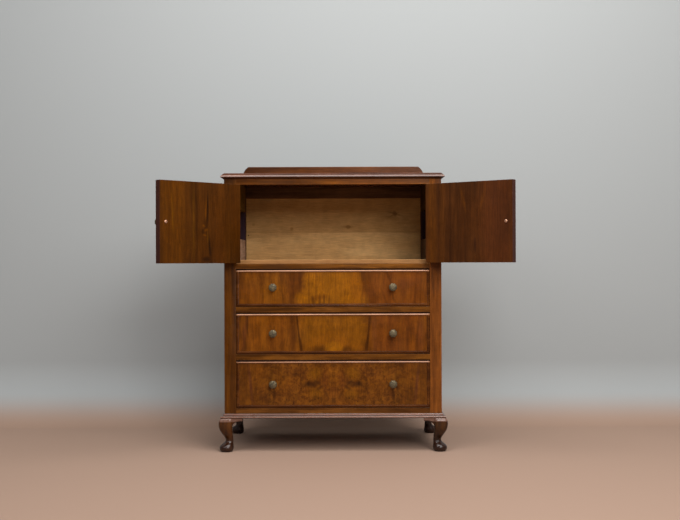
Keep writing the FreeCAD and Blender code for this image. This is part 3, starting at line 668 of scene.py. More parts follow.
class Bench:
    """Finishes meshes as pieces that ride on a body and stand for the frame's nodes."""

    def __init__(self) -> None:
        """Note what each node rides on, and start the count of boards."""
        self.bodies = {node: body for body, nodes in frame["record"]["behaviour"]["bodies"].items() for node in nodes}
        self.count = 0

    def timber(self, finish: Finish, box: Box | None = None) -> Material:
        """Make the material of the next board, whose edges are rubbed where its box is given."""
        self.count += 1
        return BoardSurface(finish, box, self.count).build()

    def piece(self, name: str, shape: Shape, material: Material, node: str, angle: float = math.radians(40)) -> Piece:
        """Make a finished mesh into a piece.

        Args:
            name: The piece's name.
            shape: Its mesh, which is used up.
            material: Its finish.
            node: The frame's node that it stands for.
            angle: Edges sharper than this stay sharp.

        Returns:
            The piece.
        """
        mesh = bpy.data.meshes.new(name)
        shape.to_mesh(mesh)
        shape.free()
        mesh.shade_smooth()
        mesh.set_sharp_from_angle(angle=angle)
        mesh.materials.clear()
        mesh.materials.append(material)
        made = linked(name, mesh)
        body = self.bodies[node]
        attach(made, body)
        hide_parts(node)
        logger.info("%s: %d faces, rides on %s", name, len(mesh.polygons), body)
        return made

    def merged(self, node: str) -> Shape:
        """Copy a node's mesh, with its doubles merged and its flat triangles joined.

        Args:
            node: The node.

        Returns:
            The copy.
        """
        shape = bmesh.new()
        shape.from_mesh(frame["nodes"][node].data)
        bmesh.ops.remove_doubles(shape, verts=shape.verts, dist=MERGE_DISTANCE)
        bmesh.ops.dissolve_limit(shape, angle_limit=FLAT_ANGLE, verts=shape.verts, edges=shape.edges)
        return shape

    def board(self, node: str, finish: Finish) -> None:
        """Stand a finished copy of a node in its place, with its edges slightly rounded.

        Args:
            node: The node.
            finish: Its finish.
        """
        material = self.timber(finish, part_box(node) if finish.closed is None else None)
        made = self.piece(node + "_finished", self.merged(node), material, node, SHARP_ANGLE)
        bevel = made.modifiers.new("soft_edges", "BEVEL")
        bevel.width, bevel.segments = finish.corner.width, finish.corner.segments
        bevel.limit_method, bevel.angle_limit = "ANGLE", SHARP_ANGLE
        bevel.harden_normals = True


@dataclass
class Case:
    """The fixed case: top, rails, stiles, sides, mouldings and the frame inside."""

    bench: Bench
    gallery_marks: tuple[Mark, ...] = figure((120, 1010, 230, 60, 0, AMBER, 0.35, 0.6))
    top_rail_marks: tuple[Mark, ...] = figure(
        (110, 946, 190, 40, 0, AMBER, 0.45, 0.7),
        (-320, 946, 60, 40, 0, BROWN, 0.4, 0.7),
    )
    # Painted highlight: a thin pale line along the nose of the top's moulding.
    nose: Tint = Tint(2, 0.9652, 0.9680, (186, 148, 128), 0.3, soft=0.0008)
    # Painted shade: the inner faces of the side panels, in the hollow between the side rails, coloured near black, with
    # their polish taken off so that they show no reflection.
    recess: Tint = Tint(0, -1.0, PANEL_INNER_HALF + 0.0004, (42, 29, 29), 1.0, absolute=True, raw=True)
    shaded: Tint = Tint(1, -1.0, POST_RECESS_Y, (60, 41, 50), 0.95)
    # Painted highlights on the base moulding's nose and on its upper bead, with painted shade between them and under
    # the nose.
    base_lines: tuple[Tint, ...] = (
        Tint(2, -1.0, 0.1208, (40, 22, 12), 0.85),
        Tint(2, 0.1214, 0.1242, (150, 104, 86), 0.5),
        Tint(2, 0.1246, 0.1280, (52, 28, 20), 0.65),
        Tint(2, 0.1286, 0.1312, (158, 108, 94), 0.55),
    )

    def build(self) -> None:
        """Finish every fixed board outside the cupboard."""
        board, across = self.bench.board, Grain.ACROSS
        board("top_board", Finish(WALNUT_TOP, across, tints=(self.nose,), stain=(0.6, 0.52, 0.5)))
        board("back_gallery", Finish(WALNUT_GALLERY, across, marks=self.gallery_marks, stain=(0.5, 0.44, 0.7)))
        board("top_front_rail", Finish(WALNUT_RAIL, across, marks=self.top_rail_marks, stain=(0.96, 0.94, 1.0)))
        for node in ("cupboard_rail", "upper_drawer_rail", "lower_drawer_rail"):
            board(node, Finish(WALNUT_RAIL, across, stain=(0.78, 0.80, 0.7)))
        board("bottom_rail", Finish(WALNUT_RAIL, across, stain=(0.72, 0.74, 0.9)))
        # The stiles' stains set their tone and also paint light: the right stile lighter and bluer as if lit, the left
        # darker as if shaded.
        stains = {Side.LEFT: (0.68, 0.64, 0.4), Side.RIGHT: (1.5, 1.42, 2.3)}
        for side, stain in stains.items():
            board(f"{side.word}_front_stile", Finish(WALNUT_STILE, Grain.UP, stain=stain))
            board(f"{side.word}_side_panel", Finish(WALNUT_SIDE, Grain.UP, tints=(self.recess,)))
            board(f"{side.word}_base_moulding", Finish(WALNUT_BASE, Grain.DEEP, tints=self.base_lines))
        board("front_base_moulding", Finish(WALNUT_BASE, across, tints=self.base_lines))
        board("rear_base_batten", Finish(FRAME_WOOD, across, Corner(0.0012, 3)))
        board("rear_posts", Finish(FRAME_WOOD, Grain.UP, tints=(self.shaded,)))
        board("drawer_back_panel", Finish(PLY, across))
        for node in ("drawer_runners", "drawer_guides", "drawer_stops"):
            board(node, Finish(FRAME_WOOD, Grain.DEEP))


@dataclass
class Cupboard:
    """The inside of the cupboard: its floor, its side rails and its back boards."""

    bench: Bench
    knots: tuple[Mark, ...] = figure(
        (58, 801, 8.6, 7.0, 0, KNOT, 0.9, 0.5),
        (58, 801, 23.4, 4.7, 0, BROWN, 0.6, 0.7),
        (240, 852, 7.0, 10.2, 20, KNOT, 0.9, 0.5),
        (240, 852, 27.3, 3.5, -16, KNOT, 0.6, 0.6),
        (236, 848, 23.4, 3.1, 28, KNOT, 0.6, 0.6),
        (217, 836, 35.2, 9.4, -12, BROWN, 0.4, 0.8),
        (-163, 794, 6.3, 6.3, 0, BROWN, 0.7, 0.6),
        (-312, 811, 5.5, 4.7, 0, KNOT, 0.4, 0.6),
        (-332, 769, 2.7, 2.7, 0, KNOT, 0.95, 0.3),
    )
    worn: tuple[Mark, ...] = figure((-17, 664, 9, 3.5, 0, BROWN, 0.8, 0.5), (11, 665, 6, 3, 0, BROWN, 0.7, 0.5))
    back_tints: tuple[Tint, ...] = (
        Tint(2, BOARD_JOINT_Z, 1.0, (168, 124, 72), 0.5),
        Tint(2, BOARD_JOINT_Z - 0.0006, BOARD_JOINT_Z + 0.0006, (120, 84, 48), 0.4, soft=0.0005),
        Tint(1, BACK_Y - 0.0007, 1.0, (132, 98, 62), 0.7),
    )
    lip: Tint = Tint(1, -1.0, DOOR_BACK_Y + 0.0016, (143, 98, 57), 0.9)
    # Painted shade: the side rails darker near the top of the cupboard and along the right side.
    rail_tints: tuple[Tint, ...] = (Tint(2, 0.85, 1.0, (98, 70, 10), 0.95), Tint(0, 0.3, 1.0, (58, 36, 18), 0.9))

    def build(self) -> None:
        """Finish the boards that show when the doors are open."""
        board = self.bench.board
        board("cupboard_back_boards", Finish(PINE, Grain.ACROSS, Corner(0.0008), self.knots, self.back_tints))
        board("cupboard_floor", Finish(PINE, Grain.ACROSS, WIDE_CORNER, self.worn, (self.lip,)))
        board("side_rails", Finish(SIDE_RAIL_WOOD, Grain.DEEP, tints=self.rail_tints))
        board("top_back_rail", Finish(FRAME_WOOD, Grain.ACROSS))


@dataclass
class Legs:
    """The four cabriole legs and the brackets beside their knees."""

    bench: Bench
    # Painted highlight: a pale band on the tops of the knees and the brackets.
    band: Tint = Tint(2, 0.1065, 1.0, (124, 92, 78), 0.75, soft=0.002)
    # Painted shade: the knee brackets stained darker, as they lie in shade under the case.
    bracket_stain: Stain = (0.6, 0.55, 0.6)
    # The legs' stains set their tone and also paint light and shade: the front left leg lit, the front right darker,
    # the back legs near black as in shade.
    stains: dict[str, Stain] = field(default_factory=lambda: {
        "front_left": (0.84, 0.8, 0.5),
        "front_right": (0.48, 0.5, 0.5),
        "back_left": (0.25, 0.22, 0.25),
        "back_right": (0.25, 0.22, 0.25),
    })
    foot_crease: float = 0.55
    foot_shade_height: float = 0.042

    def smooth_leg(self, node: str) -> Shape:
        """Copy a leg, join its triangles to four-sided faces and crease its two flat ends.

        Args:
            node: The leg's node.

        Returns:
            The mesh that subdivision then rounds.
        """
        shape = self.bench.merged(node)
        crease = shape.edges.layers.float.new("crease_edge")
        low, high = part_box(node)
        for edge in shape.edges:
            levels = [vert.co.z for vert in edge.verts]
            if max(levels) < low.z + LEVEL_MARGIN:
                edge[crease] = self.foot_crease
            elif min(levels) > high.z - LEVEL_MARGIN:
                edge[crease] = 1.0
        return shape

    def build(self) -> None:
        """Build the legs and finish the brackets."""
        for corner, stain in self.stains.items():
            node = corner + "_leg"
            foot = Tint(2, -1.0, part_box(node)[0].z + self.foot_shade_height, (40, 22, 15), 0.85, soft=0.02)
            material = self.bench.timber(Finish(WALNUT_LEG, Grain.UP, tints=(foot, self.band), stain=stain))
            made = self.bench.piece(node + "_carved", self.smooth_leg(node), material, node, RIM_ANGLE)
            rounding = made.modifiers.new("rounding", "SUBSURF")
            rounding.levels = rounding.render_levels = 2
        finish = Finish(WALNUT_LEG, Grain.ACROSS, WIDE_CORNER, tints=(self.band,), stain=self.bracket_stain)
        self.bench.board("knee_brackets", finish)


def extruded(shape: Shape, faces: list[bmesh.types.BMFace], rise: float, share: float = 1.0, keep: bool = False
             ) -> list[bmesh.types.BMFace]:
    """Extrude faces along Z, scale the new ones, and take the old ones out.

    Args:
        shape: The mesh.
        faces: The faces, which touch each other.
        rise: How far they are extruded.
        share: The size of the new faces beside the old ones.
        keep: Whether the old faces stay, to close the back.

    Returns:
        The new faces.
    """
    grown = bmesh.ops.extrude_face_region(shape, geom=faces)["geom"]
    verts = [item for item in grown if isinstance(item, bmesh.types.BMVert)]
    bmesh.ops.translate(shape, verts=verts, vec=(0, 0, rise))
    bmesh.ops.scale(shape, verts=verts, vec=(share, share, 1.0))
    new = [item for item in grown if isinstance(item, bmesh.types.BMFace)]
    if not keep:
        bmesh.ops.delete(shape, geom=[face for face in faces if face.is_valid], context="FACES_ONLY")
    return new


def bevelled(shape: Shape, angle: float, corner: Corner, above: float = -1.0) -> Shape:
    """Round the edges of a mesh that are sharper than an angle.

    Args:
        shape: The mesh.
        angle: The angle.
        corner: How far the edges are rounded.
        above: Edges stay as they are where both faces lie under this level.

    Returns:
        The same mesh.
    """
    edges = [edge for edge in shape.edges if edge.calc_face_angle(0.0) > angle
             and any(vert.co.z > above for face in edge.link_faces for vert in face.verts)]
    bmesh.ops.bevel(shape, geom=edges, offset=corner.width, segments=corner.segments, profile=0.5, affect="EDGES",
                    material=-1)
    return shape


def slab(size: Point, corner: Corner) -> Shape:
    """Build a block round the origin.

    Args:
        size: Its size on each axis.
        corner: How far its edges are rounded.

    Returns:
        The mesh.
    """
    shape = bmesh.new()
    bmesh.ops.create_cube(shape, size=1.0)
    bmesh.ops.scale(shape, verts=shape.verts, vec=size)
    return bevelled(shape, RIM_ANGLE, corner)


def rod(radius: float, length: float, sides: int, corner: Corner) -> Shape:
    """Build an upright rod round the origin.

    Args:
        radius: Its radius.
        length: Its length.
        sides: How many sides it has.
        corner: How far its rims are rounded.

    Returns:
        The mesh.
    """
    shape = bmesh.new()
    bmesh.ops.create_cone(shape, cap_ends=True, segments=sides, radius1=radius, radius2=radius, depth=length)
    return bevelled(shape, RIM_ANGLE, corner)


@dataclass(frozen=True)
class Knob:
    """An octagonal brass knob on a turned neck, built out from the face along Z."""

    half: float = 0.0135
    tip: float = 0.024
    head: float = 0.0075
    chamfer: float = 0.0026
    panel_share: float = 0.68
    panel_rise: float = 0.0014
    neck: float = 0.0045
    flange: float = 0.0075

    def turned(self, shape: Shape) -> None:
        """Turn the flange, the neck and the flare under the head.

        Args:
            shape: The mesh that it goes into.
        """
        back = self.tip - self.head
        outline = (
            (self.flange, 0.0), (self.flange, 0.0009), (self.flange * 0.86, 0.0018), (self.neck * 1.12, 0.0024),
            (self.neck, 0.0040), (self.neck, back - 0.0052), (self.neck * 1.25, back - 0.0034),
            (self.neck * 1.75, back - 0.0012), (self.half - self.chamfer, back),
        )
        verts = [shape.verts.new((radius, 0.0, height)) for radius, height in outline]
        edges = [shape.edges.new(pair) for pair in zip(verts, verts[1:])]
        bmesh.ops.spin(shape, geom=verts + edges, cent=(0, 0, 0), axis=(0, 0, 1), angle=math.tau, steps=32,
                       use_merge=True, use_duplicate=False)
        bmesh.ops.holes_fill(shape, edges=[edge for edge in shape.edges if edge.is_boundary], sides=0)

    def build(self) -> Shape:
        """Build the knob, with its octagonal head, bevelled and raised in the middle.

        Returns:
            The mesh, with its back at the origin.
        """
        shape = bmesh.new()
        self.turned(shape)
        back = self.tip - self.head
        turn = Matrix.Translation((0, 0, back)) @ Matrix.Rotation(math.pi / 8, 4, "Z")
        ring = bmesh.ops.create_circle(shape, cap_ends=True, segments=8, radius=self.half / math.cos(math.pi / 8),
                                       matrix=turn)["verts"]
        narrow = self.half - self.chamfer
        steps = (
            (self.head - self.chamfer, 1.0),
            (self.chamfer, narrow / self.half),
            (0.0, self.panel_share * self.half / narrow),
            (self.panel_rise, 0.9),
        )
        faces = [ring[0].link_faces[0]]
        for index, (rise, share) in enumerate(steps):
            faces = extruded(shape, faces, rise, share, keep=index == 0)
        bmesh.ops.recalc_face_normals(shape, faces=shape.faces)
        bevelled(shape, math.radians(20), Corner(0.00045, 2), back + LEVEL_MARGIN)
        bmesh.ops.recalc_face_normals(shape, faces=shape.faces)
        return shape


@dataclass(frozen=True)
class Screw:
    """A slotted screw head, built up from the surface along Z, with its shank below."""

    radius: float = 0.0055
    height: float = 0.003
    shank: float = 0.002
    depth: float = 0.02
    slot: float = 0.0011

    def build(self) -> Shape:
        """Build the screw.

        Returns:
            The mesh, with the underside of its head at the origin.
        """
        shape = bmesh.new()
        base = bmesh.ops.create_circle(shape, cap_ends=True, segments=24, radius=self.radius)["verts"]
        faces = [base[0].link_faces[0]]
        for index, (rise, share) in enumerate(((0.45, 1.0), (0.4, 0.84), (0.15, 0.7))):
            faces = extruded(shape, faces, self.height * rise, share, keep=index == 0)
        for sign in (-1, 1):
            top = [face for face in shape.faces if face.calc_center_median().z > self.height * 0.98]
            geom = top + [edge for face in top for edge in face.edges] + [vert for face in top for vert in face.verts]
            bmesh.ops.bisect_plane(shape, geom=list(dict.fromkeys(geom)), plane_co=(0, sign * self.slot / 2, 0),
                                   plane_no=(0, 1, 0))
        middle = [face for face in shape.faces if face.calc_center_median().z > self.height * 0.98
                  and abs(face.calc_center_median().y) < 0.0002]
        bmesh.ops.inset_region(shape, faces=middle, thickness=0.00002, use_even_offset=True)
        extruded(shape, middle, -self.height * 0.5)
        bmesh.ops.create_cone(shape, cap_ends=True, segments=12, radius1=self.shank, radius2=self.shank,
                              depth=self.depth, matrix=Matrix.Translation((0, 0, -self.depth / 2)))
        bmesh.ops.recalc_face_normals(shape, faces=shape.faces)
        return shape


def gathered(parts: Placed) -> Shape:
    """Move each mesh to its place and join them into one.

    Args:
        parts: Meshes, each with the matrix that places it. They are used up.

    Returns:
        The joined mesh.
    """
    whole = bmesh.new()
    for part, matrix in parts:
        bmesh.ops.transform(part, matrix=matrix, verts=part.verts)
        carrier = bpy.data.meshes.new("carrier")
        part.to_mesh(carrier)
        part.free()
        whole.from_mesh(carrier)
        bpy.data.meshes.remove(carrier)
    return whole


def fitted(x: float, thickness: float, z: float, screw: Screw) -> Placed:
    """Fit a knob on the front face and its screw on the face behind.

    Args:
        x: Where they sit along X.
        thickness: How far the face behind is from the front.
        z: Where they sit along Z.
        screw: The screw.

    Returns:
        The two meshes, each with its place.
    """
    quarter = math.pi / 2
    outward = Matrix.Translation((x, FRONT_Y, z)) @ Matrix.Rotation(quarter, 4, "X")
    inward = Matrix.Translation((x, FRONT_Y + thickness, z)) @ Matrix.Rotation(-quarter, 4, "X")
    return [(Knob().build(), outward), (screw.build(), inward)]


@dataclass(frozen=True)
class HingeLeaf:
    """One leaf of a butt hinge, with its knuckles and screws, as it lies on the right side of the opening."""

    plate_low: float
    plate_high: float
    first: int
    outward: int
    length: float = 0.064
    depth: float = 0.020
    knuckle: float = 0.0035
    knuckles: int = 5
    gap: float = 0.00035
    sunk: float = 0.00045
    spots: tuple[tuple[float, float], ...] = ((0.16, 0.62), (0.5, 0.42), (0.84, 0.62))
    screw: Screw = Screw(radius=0.0026, height=0.0005, shank=0.001, depth=0.001, slot=0.0006)

    def build(self, base_z: float, sign: int) -> Placed:
        """Build the plate, each knuckle with the neck that carries it, and three countersunk screws.

        Args:
            base_z: The lower end of the hinge.
            sign: 1 on the right side of the opening, -1 on the left.

        Returns:
            The meshes, each with its place.
        """
        middle_x = sign * (self.plate_low + self.plate_high) / 2
        thickness = self.plate_high - self.plate_low
        centre = (middle_x, FRONT_Y + self.depth / 2, base_z + self.length / 2)
        parts = [(slab((thickness, self.depth, self.length), Corner(0.0003, 2)), Matrix.Translation(centre))]
        pitch = self.length / self.knuckles
        tall = pitch - self.gap
        reach = FRONT_Y - HINGE_AXIS_Y
        for index in range(self.first, self.knuckles, 2):
            z = base_z + pitch * index + self.gap / 2 + tall / 2
            barrel = rod(self.knuckle, tall, 28, Corner(0.00035, 2))
            parts.append((barrel, Matrix.Translation((sign * HINGE_AXIS_X, HINGE_AXIS_Y, z))))
            neck = slab((thickness, reach, tall), Corner(0.0002, 1))
            parts.append((neck, Matrix.Translation((middle_x, HINGE_AXIS_Y + reach / 2, z))))
        face_x = (self.plate_high if self.outward > 0 else self.plate_low) - self.outward * self.sunk
        turn = Matrix.Rotation(sign * self.outward * math.pi / 2, 4, "Y")
        for height, depth in self.spots:
            spot = Matrix.Translation((sign * face_x, FRONT_Y + self.depth * depth, base_z + self.length * height))
            parts.append((self.screw.build(), spot @ turn @ Matrix.Rotation(height * 5, 4, "Z")))
        return parts


CASE_LEAF = HingeLeaf(OPENING_HALF, OPENING_HALF + 0.0015, 0, -1)
DOOR_LEAF = HingeLeaf(OPENING_HALF - 0.00275, OPENING_HALF - 0.00125, 1, 1)


@dataclass
class Hinges:
    """The leaves on the stiles and the pins, which stay with the case."""

    bench: Bench
    inset: float = 0.038
    length: float = CASE_LEAF.length
    pin: float = 0.0015
    pin_end: float = 0.0012

    @property
    def feet(self) -> tuple[float, float]:
        """The lower ends of a door's two hinges."""
        return DOOR_BOTTOM + self.inset, DOOR_TOP - self.inset - self.length

    def leaves(self, leaf: HingeLeaf, side: Side) -> Placed:
        """Build a leaf at the lower and at the upper hinge of a door."""
        return [part for foot in self.feet for part in leaf.build(foot, side.value)]

    def build(self) -> None:
        """Build the leaves on the stiles and the pins."""
        brass = metal(HINGE_BRASS)
        pins = []
        for side in Side:
            shape = gathered(self.leaves(CASE_LEAF, side))
            self.bench.piece(f"{side.word}_case_hinges", shape, brass, f"{side.word}_case_hinge_leaves")
            for foot in self.feet:
                pin = rod(self.pin, self.length + 2 * self.pin_end, 20, Corner(0.0005, 3))
                spot = (side.value * HINGE_AXIS_X, HINGE_AXIS_Y, foot + self.length / 2)
                pins.append((pin, Matrix.Translation(spot)))
        self.bench.piece("round_hinge_pins", gathered(pins), brass, "hinge_pins")


@dataclass
class Door:
    """One door with its bead, knob, screw and hinge leaves, turned to where it stands open."""

    bench: Bench
    hinges: Hinges
    side: Side
    angle: float
    marks: tuple[Mark, ...]
    stain: Stain
    knob_x: float = 0.025
    slot_turn: float = 0.5
    # Painted shade: the doors' free edges, where they meet when shut, coloured darker.
    free_edge: Tint = Tint(0, -0.0016, 0.0016, (64, 34, 28), 0.9)

    def build(self) -> None:
        """Build every piece that swings with the door."""
        bench, sign = self.bench, self.side.value
        name = f"{self.side.word}_door"
        axis = Vector((sign * HINGE_AXIS_X, HINGE_AXIS_Y, 0.0))
        turn = Matrix.Rotation(math.radians(sign * self.angle), 4, "Z")
        opened = Matrix.Translation(axis) @ turn @ Matrix.Translation(-axis)
        panel = Finish(DOOR_VENEER, Grain.UP, marks=self.marks, tints=(self.free_edge,), stain=self.stain,
                       closed=opened.inverted())
        bench.board(f"{name}_panel", panel)
        bench.board(f"{name}_bead", Finish(WALNUT_BEAD, Grain.UP, THIN_CORNER, closed=panel.closed))
        knob, screw = fitted(sign * self.knob_x, DOOR_THICKNESS, (DOOR_BOTTOM + DOOR_TOP) / 2, Screw(depth=0.031))
        screw = (screw[0], screw[1] @ Matrix.Rotation(self.slot_turn, 4, "Z"))
        for word, node, parts, kind in (
            ("octagon_knob", "knob", [knob], KNOB_BRASS),
            ("slotted_screw", "knob_screw", [screw], SCREW_BRASS),
            ("hinges", "hinge_leaves", self.hinges.leaves(DOOR_LEAF, self.side), HINGE_BRASS),
        ):
            shape = gathered([(part, opened @ place) for part, place in parts])
            bench.piece(f"{name}_{word}", shape, metal(kind), f"{name}_{node}")


@dataclass
class Drawer:
    """One drawer: its veneered front with a bead, its dovetailed box and its two knobs."""

    bench: Bench
    name: str
    marks: tuple[Mark, ...]
    stain: Stain
    knob_z: float
    mirror: float | None = None
    knob_half_spacing: float = 0.210
    front_thickness: float = 0.020

    def build(self) -> None:
        """Build every piece that slides with the drawer."""
        bench, name = self.bench, f"{self.name}_drawer"
        front = Finish(DRAWER_VENEER, Grain.UP, marks=self.marks, stain=self.stain, mirror=self.mirror)
        bench.board(f"{name}_front", front)
        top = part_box(f"{name}_bead")[1].z
        # Painted shade along the top edge of each bead, with its polish taken off, then a painted highlight along the
        # crest below it and a softer painted highlight under that.
        bead_shade_and_highlights = (
            Tint(2, top - 0.0036, 1.0, (34, 15, 5), 0.95, raw=True),
            Tint(2, top - 0.0060, top - 0.0036, (214, 162, 130), 0.9, soft=0.0005),
            Tint(2, top - 0.0090, top - 0.0060, (150, 100, 62), 0.7),
        )
        bench.board(f"{name}_bead", Finish(WALNUT_BEAD, Grain.ACROSS, THIN_CORNER, tints=bead_shade_and_highlights))
        bench.board(f"{name}_sides", Finish(BOX_WOOD, Grain.DEEP))
        bench.board(f"{name}_back", Finish(BOX_WOOD, Grain.ACROSS))
        bench.board(f"{name}_bottom", Finish(PLY, Grain.ACROSS))
        parts = []
        for sign in (-1, 1):
            parts += fitted(sign * self.knob_half_spacing, self.front_thickness, self.knob_z, Screw(depth=0.029))
        bench.piece(f"{name}_octagon_knobs", gathered(parts), metal(KNOB_BRASS), f"{name}_knobs")


@dataclass(frozen=True)
class Lamp:
    """One soft rectangular lamp."""

    name: str
    place: Point
    aim: Point
    size: tuple[float, float]
    watts: float
    colour: Point = (1.0, 1.0, 1.0)

    def build(self) -> None:
        """Hang the lamp."""
        data = bpy.data.lights.new(self.name, "AREA")
        data.shape = "RECTANGLE"
        data.size, data.size_y = self.size
        data.energy = self.watts
        data.color = self.colour
        lamp = linked(self.name, data)
        lamp.location = self.place
        lamp.rotation_euler = (Vector(self.aim) - Vector(self.place)).to_track_quat("-Z", "Y").to_euler()


@dataclass
class Studio:
    """The floor and backdrop, the lamps and the camera."""

    half_width: float = 9.0
    near: float = -9.0
    far: float = 0.30
    sweep_radius: float = 0.25
    sweep_steps: int = 24
    height: float = 6.0
    floor_colour: Colour = (154, 126, 108)
    wall_colour: Colour = (155, 158, 158)
    roughness: float = 0.85
    camera_place: Point = (0.0254, -3.915, 0.664)
    camera_turn: Point = (math.radians(90.109), math.radians(0.18), 0.0)
    lens: float = 55.85
    sensor: float = 36.0
    world_level: float = 0.22
    lamps: tuple[Lamp, ...] = (
        Lamp("key_lamp", (1.4, -2.3, 3.0), (0.0, 0.0, 0.5), (1.8, 1.4), 46.0, (1.0, 0.98, 0.95)),
        Lamp("fill_lamp", (-2.0, -2.5, 2.7), (0.0, 0.0, 0.5), (1.8, 1.4), 26.0, (0.97, 0.98, 1.0)),
        Lamp("front_lamp", (0.95, -3.5, 2.1), (0.0, 0.2, 0.7), (1.7, 1.3), 68.0),
        Lamp("ceiling_lamp", (0.2, -1.0, 2.9), (0.1, -0.3, 0.5), (2.6, 1.0), 60.0),
    )

    def drawn(self, shape: Shape, edge: Edge, step: Point) -> Edge:
        """Draw a flat sheet out of an edge.

        Args:
            shape: The mesh.
            edge: The edge.
            step: How far it is drawn along each axis.

        Returns:
            The edge at the sheet's other end.
        """
        grown = bmesh.ops.extrude_edge_only(shape, edges=[edge])["geom"]
        verts = [item for item in grown if isinstance(item, bmesh.types.BMVert)]
        bmesh.ops.translate(shape, verts=verts, vec=step)
        return shape.edges.get(verts)

    def sweep(self) -> Shape:
        """Draw the floor out, sweep it up into a backdrop, and draw a floor behind that.

        Returns:
            The mesh.
        """
        shape = bmesh.new()
        front, behind = (shape.edges.new([shape.verts.new((sign * self.half_width, y, 0.0)) for sign in (1, -1)])
                         for y in (self.near, self.far))
        edge = self.drawn(shape, front, (0.0, self.far - self.near, 0.0))
        last = bmesh.ops.spin(shape, geom=[*edge.verts, edge], cent=(0.0, self.far, self.sweep_radius),
                              axis=(1.0, 0.0, 0.0), angle=math.pi / 2, steps=self.sweep_steps, use_merge=False,
                              use_duplicate=False)["geom_last"]
        edge = next(item for item in last if isinstance(item, Edge))
        self.drawn(shape, edge, (0.0, 0.0, self.height - self.sweep_radius))
        self.drawn(shape, behind, (0.0, -self.near - self.far, 0.0))
        return shape

    def backdrop(self) -> None:
        """Cover the sweep with paper that can be seen through from behind."""
        shape = self.sweep()
        mesh = bpy.data.meshes.new("studio_floor")
        shape.to_mesh(mesh)
        shape.free()
        mesh.shade_smooth()
        paper = Surface("studio_paper")
        rise = paper.ranged(paper.axes(paper.place)[2], 0.0, self.sweep_radius * 0.5)
        colour = paper.mixed(rise, self.floor_colour, self.wall_colour)
        paper.feed(paper.shader, {"Base Color": colour, "Roughness": self.roughness})
        behind = paper.node("NewGeometry").outputs["Backfacing"]
        clear = paper.node("BsdfTransparent").outputs["BSDF"]
        mixed = paper.node("MixShader", (behind, paper.shader.outputs["BSDF"], clear))
        paper.feed(paper.output, {"Surface": mixed.outputs["Shader"]})
        mesh.materials.append(paper.material)
        floor = linked("studio_floor", mesh)

    def camera(self) -> None:
        """Set the camera up where the photograph was taken from."""
        data = bpy.data.cameras.new("camera")
        data.lens, data.sensor_width = self.lens, self.sensor
        made = linked("camera", data)
        made.location, made.rotation_euler = self.camera_place, self.camera_turn
        bpy.context.scene.camera = made

    def build(self) -> None:
        """Build the whole studio."""
        self.backdrop()
        self.camera()
        for lamp in self.lamps:
            lamp.build()
        world = bpy.data.worlds.new("studio_air")
        world.use_nodes = True
        background = world.node_tree.nodes["Background"]
        background.inputs["Color"].default_value = (1.0, 1.0, 1.0, 1.0)
        background.inputs["Strength"].default_value = self.world_level
        bpy.context.scene.world = world
        bpy.context.scene.view_settings.view_transform = "Standard"


UPPER_FIGURE = figure(
    (-300, 573, 40, 105, 0, BROWN, 0.25, 0.8), (-213, 562, 35, 42, 0, GOLD, 0.25, 0.8),
    (-1, 573, 100, 210, 0, GOLD, 0.75, 0.14), (-128, 602, 18, 60, -3, BROWN, 0.6, 0.45),
    (-116, 606, 5, 48, -2, DARK, 0.4, 0.5), (-136, 596, 3, 56, -3, DARK, 0.25, 0.6),
    (-111, 534, 21, 25, 0, GOLD, 0.6, 0.6), (-146, 566, 9, 70, 0, BROWN, 0.4, 0.7),
    (232, 573, 95, 210, 0, RED, 0.5, 0.3), (121, 584, 19, 78, 11, BROWN, 0.62, 0.45),
    (110, 606, 8, 40, 8, DARK, 0.35, 0.5), (140, 540, 14, 30, 14, BROWN, 0.4, 0.5),
    (80, 573, 18, 120, 4, AMBER, 0.45, 0.8), (-60, 573, 3, 60, 0, BROWN, 0.35, 0.6),
    (-84, 573, 3, 80, 0, BROWN, 0.35, 0.6), (-38, 590, 2.5, 60, 0, BROWN, 0.3, 0.6),
    (10, 573, 3, 70, 0, BROWN, 0.22, 0.6), (42, 560, 3, 70, 0, BROWN, 0.25, 0.6),
    (103, 527, 18, 21, 0, GOLD, 0.4, 0.7), (250, 587, 28, 21, 20, PURPLE, 0.4, 0.8),
    (194, 615, 4, 32, 24, DARK, 0.45, 0.6), (180, 541, 4, 35, 20, DARK, 0.35, 0.6),
    (215, 531, 4, 28, 24, DARK, 0.3, 0.6), (-69, 527, 5, 18, 8, DARK, 0.65, 0.5),
    (-46, 531, 4, 19, 0, DARK, 0.65, 0.5), (-31, 532, 3, 21, 0, DARK, 0.7, 0.5),
    (-13, 527, 3, 14, 0, DARK, 0.5, 0.5), (-52, 540, 28, 9, 12, BROWN, 0.5, 0.7),
    (288, 573, 4, 140, 0, BROWN, 0.35, 0.5), (306, 573, 3, 140, 0, BROWN, 0.35, 0.5),
    (-308, 573, 3, 140, 0, BROWN, 0.35, 0.5),
)
